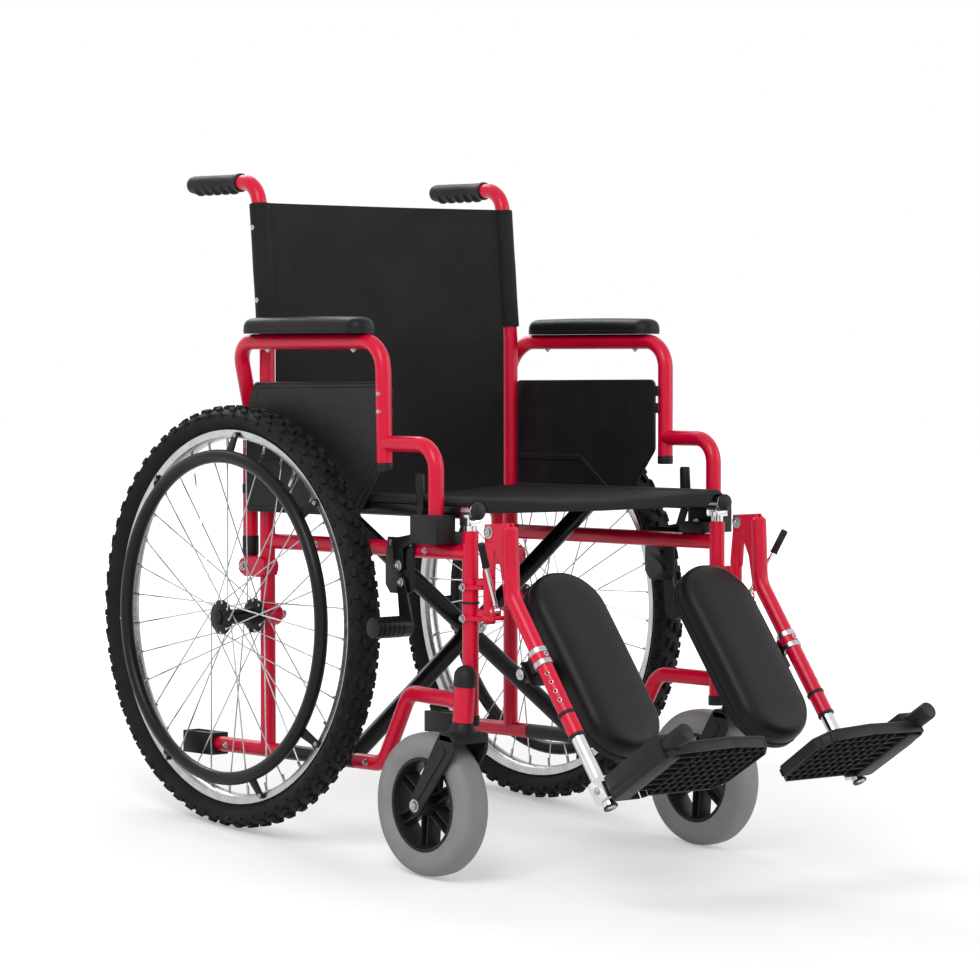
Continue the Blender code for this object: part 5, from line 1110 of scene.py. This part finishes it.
def leg(label, s):
    """The folded channel from the knee and the round tube with its bands."""
    place = leg_place(s)
    body = "leg_" + label
    x = s * LEG_X
    bm = bmesh.new()
    tube(bm, [(x, -0.5325, 0.1450), (x, LEG_ELBOW[0] + 0.0005, LEG_ELBOW[1] + 0.004), (x, *LEG_END)], TUBE_R,
         bend=0.045, steps=10, sides=24, ends=0.0035)
    outer = LEG_X + EAR_HALF + GAP
    for low in (LEG_X - EAR_HALF - GAP - SHEET_T, outer):
        side_plate(bm, CHANNEL_SIDE, s, low, low + SHEET_T, 0.0005)
    finished("leg_tube_" + label, bm, RED, body, ["legrest_tube_" + label])
    out = Vector((s * sin(HOLE_TURN), cos(HOLE_TURN), 0))
    holes = [Vector((0, 0, 0.1230 + k * 0.0140)) for k in range(4)]
    bm = bmesh.new()
    bar(bm, (0, 0, 0.1815), (0, 0, 0.1865), TUBE_R + 0.0015, place, 32, ease=0.0010)
    bar(bm, (0, 0, LEG_L - 0.0030), (0, 0, LEG_L + 0.0012), TUBE_R + 0.0008, place, 32, ease=0.0008)
    for at in holes:
        bar(bm, at + out * (TUBE_R - 0.002), at + out * (TUBE_R + 0.0007), 0.0021, place, 16, ease=0.0002)
    finished("leg_collars_" + label, bm, PLASTIC, body)
    bm = bmesh.new()
    for at in holes:
        bar(bm, at + out * (TUBE_R - 0.002), at + out * (TUBE_R + 0.0004), 0.0030, place, ease=0.0002)
    spot = leg_place(1).inverted() @ (FRAME @ Vector((LEG_X, -0.5300, 0.0700)))
    side = outer + SHEET_T - LEG_X
    side_bolt(bm, s, side - 0.0002, side + 0.0035, spot.yz, 0.0045, place)
    finished("leg_rivets_" + label, bm, SILVER, body)


def release(label, s):
    """Chrome stem on its pin, and the black finger grip."""
    body = "release_" + label
    y, z = RELEASE_PIVOT
    low = Vector((s * 0.2717, -0.5259, 0.0922))
    high = Vector((s * 0.2870, -0.5336, 0.1244))
    bm = bmesh.new()
    eye = mirrored([(0.0026, 0.0047), (0.0044, 0.0047), (0.0048, 0.0043)])
    place = FRAME @ Matrix.Translation((s * RELEASE_X, y, z)) @ Matrix.Rotation(pi / 2, 4, "Y")
    lathe(bm, eye, place, steps=24, closed=True)
    tube(bm, [(s * RELEASE_X, y - 0.0006, z + 0.0035), (s * 0.2440, -0.5120, 0.0430), low,
              low.lerp(high, 0.41)], 0.0031, bend=0.012, steps=6, sides=14)
    finished("release_stem_" + label, bm, CHROME, body, ["release_lever_" + label], smooth=40)
    bm = bmesh.new()
    way = (high - low).normalized()
    bar(bm, low, high, 0.0050, ease=0.0015)
    bar(bm, low - way * 0.0002, low + way * 0.0025, 0.0056, ease=0.0008)
    finished("release_grip_" + label, bm, GRIP_RUBBER, body, smooth=45, slot="chrome")


def calf_carrier(label, s):
    """Clamp ring, web, bar behind the pad and the round knob."""
    place = leg_place(s)
    body = "calf_rest_" + label
    low, high = BRACKET_T
    back = CALF_BACK - GAP
    knob_at = (back - 0.0120, 0.0960)
    bm = bmesh.new()
    block(bm, (-0.0075, -0.0150, low + 0.002), (0.0075, -0.0114, high - 0.002), place, 0.0008)
    block(bm, (-0.0040, back - 0.0180, low + 0.002), (0.0040, -0.0122, high - 0.002), place)
    block(bm, (s * (CALF_X - LEG_X - 0.0250), back - 0.0040, low), (s * 0.0100, back, high + 0.0120), place,
          0.0012)
    bar(bm, (s * 0.0030, *knob_at), (s * 0.0105, *knob_at), 0.0070, place)
    finished("calf_carrier_" + label, bm, BLACK_PAINT, body, ["calf_bracket_" + label])
    bm = bmesh.new()
    ring = [(0.0116, low + 0.0070), (0.0129, low + 0.0070), (0.0129, high - 0.0070), (0.0116, high - 0.0070)]
    lathe(bm, ring, place, steps=36, closed=True)
    finished("calf_clamp_" + label, bm, RED, body)
    bm = bmesh.new()
    washer = [(0.0019, 0.0126), (0.0040, 0.0126), (0.0040, 0.0136), (0.0019, 0.0136)]
    turned = Matrix.Translation((0, 0, (low + high) / 2)) @ Matrix.Rotation(-pi / 2, 4, "X")
    lathe(bm, washer, place @ turned, steps=24, closed=True)
    for start in (low, high - 0.0078):
        band = [(0.0116, start), (0.0132, start), (0.0138, start + 0.0008), (0.0138, start + 0.0070),
                (0.0132, start + 0.0078), (0.0116, start + 0.0078)]
        lathe(bm, band, place, steps=40, closed=True)
    for x in (-0.0440, -0.0900):
        bolt(bm, (s * x, back - 0.0038, low + 0.019), (s * x, back - 0.0068, low + 0.019), 0.0040, place)
    side_bolt(bm, s, 0.0100, 0.0135, knob_at, 0.0056, place)
    finished("calf_screws_" + label, bm, SILVER, body)


def extension(label, s):
    """Chrome slider, clamp block and the footplate's hinge pin."""
    place = leg_place(s)
    body = "leg_slider_" + label
    bm = bmesh.new()
    tube(bm, [(0, 0, LEG_L - 0.0750), (0, 0, 0.3294)], 0.0094, place, sides=24)
    block(bm, (s * -0.0140, -0.0115, 0.2870), (s * 0.0125, 0.0145, 0.3200), place, 0.0022)
    bar(bm, (0, 0.005, 0), (0, 0.1250, 0), 0.0059, foot_place(s))
    finished("slider_" + label, bm, CHROME, body, ["extension_tube_" + label])
    bm = bmesh.new()
    bar(bm, (0, 0, 0.3262), (0, 0, 0.3294), 0.0101, place, 24, ease=0.0010)
    finished("slider_cap_" + label, bm, PLASTIC, body)
    bm = bmesh.new()
    for start, end in ((-0.0140, -0.0175), (0.0125, 0.0160)):
        side_bolt(bm, s, start, end, (0.0015, 0.3035), 0.0042, place)
    finished("slider_bolts_" + label, bm, SILVER, body)


FOOT_PLAN = ((0.2440, 0.0160), (0.1950, 0.0160), (0.1850, 0.0225), (0.0700, 0.0225), (0.0520, 0.0420),
             (0.0470, 0.1200), (0.0650, 0.1450), (0.1300, 0.1530), (0.2350, 0.1480), (0.2440, 0.1100))


def foot_board(label, s):
    """The moulded board: skin on top, ribs crossing below, raised rim, hinge housing and round nose."""
    place = foot_place(s)
    body = "foot_rest_" + label
    bm = bmesh.new()

    def rib(x0, x1, y0, y1, low, high, ease):
        block(bm, (s * (x0 - FOOT_X), y0, low), (s * (x1 - FOOT_X), y1, high), place, ease)

    block(bm, (-0.0150, 0.0162, -0.0180), (0.0150, 0.1350, 0.0180), place, 0.0030)
    outline = rounded([(s * (x - FOOT_X), y) for x, y in FOOT_PLAN], 0.006, 4)
    plate(bm, outline, 0.0020, 0.0062, place, "XY", 0.0012)
    centre = Vector((s * (0.1450 - FOOT_X), 0.0850, 0))
    for a, b in zip(outline, outline[1:] + outline[:1]):
        way = b - a
        if way.length < 0.0010:
            continue
        middle = (a + b) / 2
        middle += (centre - middle).normalized() * 0.0022
        turn = Matrix.Rotation(-Vector((1, 0)).angle_signed(way.to_2d()), 4, "Z")
        half = way.length / 2 + 0.0004
        block(bm, (-half, -0.0013, -0.0062), (half, 0.0013, 0.0062),
              place @ Matrix.Translation((middle.x, middle.y, 0.0118)) @ turn, 0.0004)
    for k in range(9):
        x = 0.0620 + k * 0.0150
        rib(x - 0.0009, x + 0.0009, 0.0240 if k else 0.0400, 0.1420, 0.0055, 0.0170, 0.0004)
    for k in range(7):
        y = 0.0380 + k * 0.0150
        rib(0.0530, 0.2125, y - 0.0009, y + 0.0009, 0.0055, 0.0160, 0.0004)
    for k in range(14):
        y = 0.0280 + k * 0.0080
        rib(0.0720, 0.2080, y - 0.0012, y + 0.0012, 0.0013, 0.0024, 0.0003)
    bar(bm, (0, 0.1300, 0), (0, 0.1750, 0), 0.0125, place, 32, ease=0.0030)
    finished("foot_board_" + label, bm, PLASTIC, body, ["footplate_" + label])
    bm = bmesh.new()
    for y in (0.0400, 0.1050):
        bolt(bm, (0, y, -0.0178), (0, y, -0.0205), 0.0034, place)
    finished("foot_screws_" + label, bm, SILVER, body)


for label, s in SIDES:
    hanger(label, s)
    leg(label, s)
    release(label, s)
    calf_carrier(label, s)
    extension(label, s)
    foot_board(label, s)


# Slings

SEAT_FROM_Y = -0.4600
SEAT_TO_Y = -0.0300
SEAT_HALF = 0.2440
SEAT_GRID = (72, 64)
SEAT_HEMS = (0.045, 0.955)
SEAT_SEAMS = (0.085, 0.915)
BACK_LOW_Z = 0.1500
BACK_TOP_Z = 0.5960
BACK_SAG = 0.0180


def cloth_grid(bm, columns, rows, spot):
    """A square grid pulled to its places, with U and V in metres along the cloth."""
    bmesh.ops.create_grid(bm, x_segments=columns, y_segments=rows, size=0.5, calc_uvs=True)
    layer = bm.loops.layers.uv.verify()
    for face in bm.faces:
        for loop in face.loops:
            loop[layer].uv = [(loop.vert.co[axis] + 0.5) * 0.50 for axis in (0, 1)]
    for v in bm.verts:
        v.co = spot(v.co.x + 0.5, v.co.y + 0.5)


def crease(value, centre, width):
    """A bell from 0 to 1 round a centre."""
    share = (value - centre) / width
    return 1 / (1 + share * share * 4)


def seat_spot(u, v):
    """The seat's upper side: padded, sagging between the rails, drawn in at its seams."""
    share = u * 2 - 1
    near = 1 - abs(share)
    z = 0.1720 + 0.0118 * abs(share) ** 1.7
    z -= 0.0125 * max(0.0, (abs(share) - 0.93) / 0.07) ** 2
    z += 0.0008 * sin(31 * u + 3 * sin(9 * v)) * near + 0.0006 * sin(23 * v + 2 * sin(12 * u)) * near
    for seam in SEAT_HEMS:
        z -= 0.0012 * crease(v, seam, 0.010)
    for seam in SEAT_SEAMS:
        z -= 0.0013 * crease(u, seam, 0.008)
    edge = min(v, 1 - v) * 0.43
    if edge < 0.006:
        z -= 0.0050 * (1 - edge / 0.006) ** 2
    return FRAME @ Vector((share * SEAT_HALF, SEAT_FROM_Y + (SEAT_TO_Y - SEAT_FROM_Y) * v, z))


def seat_under_spot(u, v):
    """The seat's underside, resting on the rails and hanging between them."""
    share = u * 2 - 1
    z = 0.1580 + 0.0020 * abs(share)
    if abs(share) > 0.84:
        z += 0.0153 * min(1.0, (abs(share) - 0.84) / 0.05) ** 1.5
    return FRAME @ Vector((share * SEAT_HALF, SEAT_FROM_Y + (SEAT_TO_Y - SEAT_FROM_Y) * v, z))


def seat():
    """A padded seat sling: crowned top, underside and the joined edge, with sewn seams."""
    bm = bmesh.new()
    cloth_grid(bm, *SEAT_GRID, seat_spot)
    upper = [e for e in bm.edges if e.is_boundary]
    under = bmesh.new()
    cloth_grid(under, *SEAT_GRID, seat_under_spot)
    scratch = bpy.data.meshes.new("seat_underside")
    under.to_mesh(scratch)
    under.free()
    had = set(bm.edges)
    bm.from_mesh(scratch)
    bpy.data.meshes.remove(scratch)
    lower = [e for e in bm.edges if e not in had and e.is_boundary]
    bmesh.ops.bridge_loops(bm, edges=upper + lower)
    made = finished("padded_seat", bm, NYLON, None, ["seat_sling"], smooth=60)
    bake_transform(made)
    bm = bmesh.new()
    for u in SEAT_SEAMS:
        for shift in (-0.004, 0.004):
            stitches(bm, [seat_spot(u + shift, 0.03 + 0.94 * k / 60) for k in range(61)])
    for v in SEAT_HEMS:
        stitches(bm, [seat_spot(0.05 + 0.90 * k / 60, v) for k in range(61)])
    seams = finished("seat_stitching", bm, THREAD, None, smooth=60)
    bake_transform(seams)


def stitches(bm, points):
    """A row of short stitches lying on a run of points."""
    for a, b in zip(points, points[1:]):
        way = b - a
        bar(bm, a + way * 0.15, a + way * 0.75, 0.0005, WORLD, 5, ease=0)


def back_middle(u, v):
    """The middle of the back cloth: u from side to side, v from bottom to top."""
    share = u * 2 - 1
    z = BACK_LOW_Z + (BACK_TOP_Z - BACK_LOW_Z) * v
    sag = BACK_SAG * (1 - share * share)
    fold = 0.0012 * sin(7.0 * v + 5.0 * share) * (1 - share * share)
    fold += 0.0016 * crease(abs(share), 0.80, 0.030) * (0.5 + 0.5 * sin(18 * v))
    return share, z, REAR_Y + cane_lean(z) + sag + fold


def folds_in(made):
    """Gives the piece a mesh of its own."""
    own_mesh(made)


def back():
    """Back cloth with a hem, and a sleeve sewn round each cane."""
    bm = bmesh.new()

    def spot(u, v):
        share, z, y = back_middle(u, v)
        half = SIDE_X - 0.0150 if z < 0.4200 else SIDE_X - 0.0125
        return FRAME @ Vector((share * half, y, z))

    cloth_grid(bm, 72, 60, spot)
    bmesh.ops.recalc_face_normals(bm, faces=bm.faces)
    bmesh.ops.solidify(bm, geom=bm.faces[:], thickness=0.0024)
    made = finished("back_cloth", bm, NYLON, "frame_right", ["back_sling"], smooth=60)
    folds_in(made)
    rise = Vector((CANE_TOP_Y - REAR_Y, GRIP_Z - BEND_Z))
    lean = Matrix.Rotation(-Vector((0, 1)).angle(rise), 4, "X")
    place = FRAME @ Matrix.Translation((0, REAR_Y, BEND_Z)) @ lean
    sleeve = [(0.0117, 0.0180), (0.0140, 0.0182), (0.0146, 0.0200), (0.0144, 0.0700), (0.0147, 0.1000),
              (0.0144, 0.1400), (0.0146, 0.1920), (0.0142, 0.1958), (0.0117, 0.1962)]
    seams = [[(0.0146, z - 0.0006), (0.0151, z), (0.0146, z + 0.0006)] for z in (0.0225, 0.1910)]
    for label, s in SIDES:
        bm = bmesh.new()
        for profile in (sleeve, *seams):
            lathe(bm, profile, place @ Matrix.Translation((s * SIDE_X, 0, 0)), steps=40, closed=True)
        x = s * (SIDE_X - 0.0145)
        block(bm, (x - 0.0020, -0.0022, 0.0185), (x + 0.0020, 0.0050, 0.1955), place, 0.0008)
        finished("back_sleeve_" + label, bm, NYLON, "frame_" + label, smooth=60)
        bm = bmesh.new()
        for inset in (0.0185, 0.0215):
            run = []
            for k in range(61):
                _, z, y = back_middle(0.5 + s * (0.5 - inset / 0.44), 0.10 + 0.88 * k / 60)
                run.append(FRAME @ Vector((s * (SIDE_X - 0.0130 - inset), y - 0.0013, z)))
            stitches(bm, run)
        folds_in(finished("back_stitching_" + label, bm, THREAD, "frame_right", smooth=60))
    bm = bmesh.new()
    for v in (0.965, 0.030):
        run = []
        for k in range(73):
            share, z, y = back_middle(0.04 + 0.92 * k / 72, v)
            run.append(FRAME @ Vector((share * (SIDE_X - 0.0140), y - 0.0013, z)))
        stitches(bm, run)
    folds_in(finished("back_hem_stitching", bm, THREAD, "frame_right", smooth=60))


seat()
back()


# Floor, light and camera

LAMP_AIM = Vector((0, 0, 0.45))


def seen_rays(tree):
    """1 for what the camera sees, directly or in metal and glass, else 0."""
    rays = tree.nodes.new("ShaderNodeLightPath")
    seen = maths(tree, "MAXIMUM", rays.outputs["Is Camera Ray"], rays.outputs["Is Glossy Ray"])
    return maths(tree, "MAXIMUM", seen, rays.outputs["Is Transmission Ray"])


def plain_surface(name, colour, near, far):
    """A pale surface that the camera and mirrors see as near white, and that still takes the shadow."""
    made = bpy.data.materials.new(name)
    made.use_nodes = True
    tree = made.node_tree
    shader = tree.nodes["Principled BSDF"]
    preset(shader, {"Base Color": (*colour, 1), "Roughness": 0.9, "Specular IOR Level": 0.1,
                    "Emission Color": (1, 1, 1, 1)})
    where = tree.nodes.new("ShaderNodeTexCoord")
    away = tree.nodes.new("ShaderNodeVectorMath")
    away.operation = "LENGTH"
    link(tree, where.outputs["Object"], away.inputs[0])
    ramp = tree.nodes.new("ShaderNodeMapRange")
    preset(ramp, {"From Min": 0.9, "From Max": 2.6, "To Min": near, "To Max": far})
    link(tree, away.outputs["Value"], ramp.inputs["Value"])
    glow = maths(tree, "MULTIPLY", seen_rays(tree), ramp.outputs["Result"])
    link(tree, glow, shader.inputs["Emission Strength"])
    return made


def studio():
    """The floor, the white world and three area lamps."""
    bm = bmesh.new()
    bmesh.ops.create_grid(bm, x_segments=1, y_segments=1, size=6.0)
    mesh = bpy.data.meshes.new("floor")
    bm.to_mesh(mesh)
    bm.free()
    floor = bpy.data.objects.new("floor", mesh)
    floor.location.z = -0.0012
    mesh.materials.append(plain_surface("pale_floor", (0.80, 0.80, 0.80), 0.36, 0.80))
    bpy.context.scene.collection.objects.link(floor)
    world = bpy.data.worlds.new("studio")
    bpy.context.scene.world = world
    world.use_nodes = True
    tree = world.node_tree
    sky = tree.nodes["Background"]
    sky.inputs["Color"].default_value = (1, 1, 1, 1)
    link(tree, spread(tree, seen_rays(tree), 0.42, 1.0), sky.inputs["Strength"])
    for name, spot, size, power in (("key", (-2.6, -1.4, 2.9), 1.8, 62), ("fill", (2.4, -2.6, 1.9), 2.2, 34),
                                    ("rim", (0.6, 2.8, 2.6), 1.6, 40)):
        lamp = bpy.data.lights.new(name, "AREA")
        lamp.size = size
        lamp.energy = power
        made = bpy.data.objects.new(name, lamp)
        made.location = spot
        made.rotation_euler = (LAMP_AIM - Vector(spot)).to_track_quat("-Z", "Y").to_euler()
        bpy.context.scene.collection.objects.link(made)


def camera():
    """The camera at the photograph's place, turned, raised and rolled."""
    turn, rise, roll = CAMERA_TURN, CAMERA_RISE, CAMERA_ROLL
    back_way = Vector((sin(turn) * cos(rise), -cos(turn) * cos(rise), sin(rise)))
    right = Vector((cos(turn), sin(turn), 0))
    upward = back_way.cross(right)
    right, upward = (cos(roll) * right + sin(roll) * upward, cos(roll) * upward - sin(roll) * right)
    lens = bpy.data.cameras.new("camera")
    lens.lens = FOCAL_MM
    lens.sensor_width = SENSOR_MM
    lens.sensor_fit = "HORIZONTAL"
    lens.shift_x = SHIFT_X
    lens.clip_end = 40
    made = bpy.data.objects.new("camera", lens)
    turned = Matrix((right, upward, back_way)).transposed().to_4x4()
    made.matrix_world = Matrix.Translation(CAMERA_AT) @ turned
    bpy.context.scene.collection.objects.link(made)
    bpy.context.scene.camera = made


studio()
camera()
bpy.context.scene.view_settings.view_transform = "Standard"
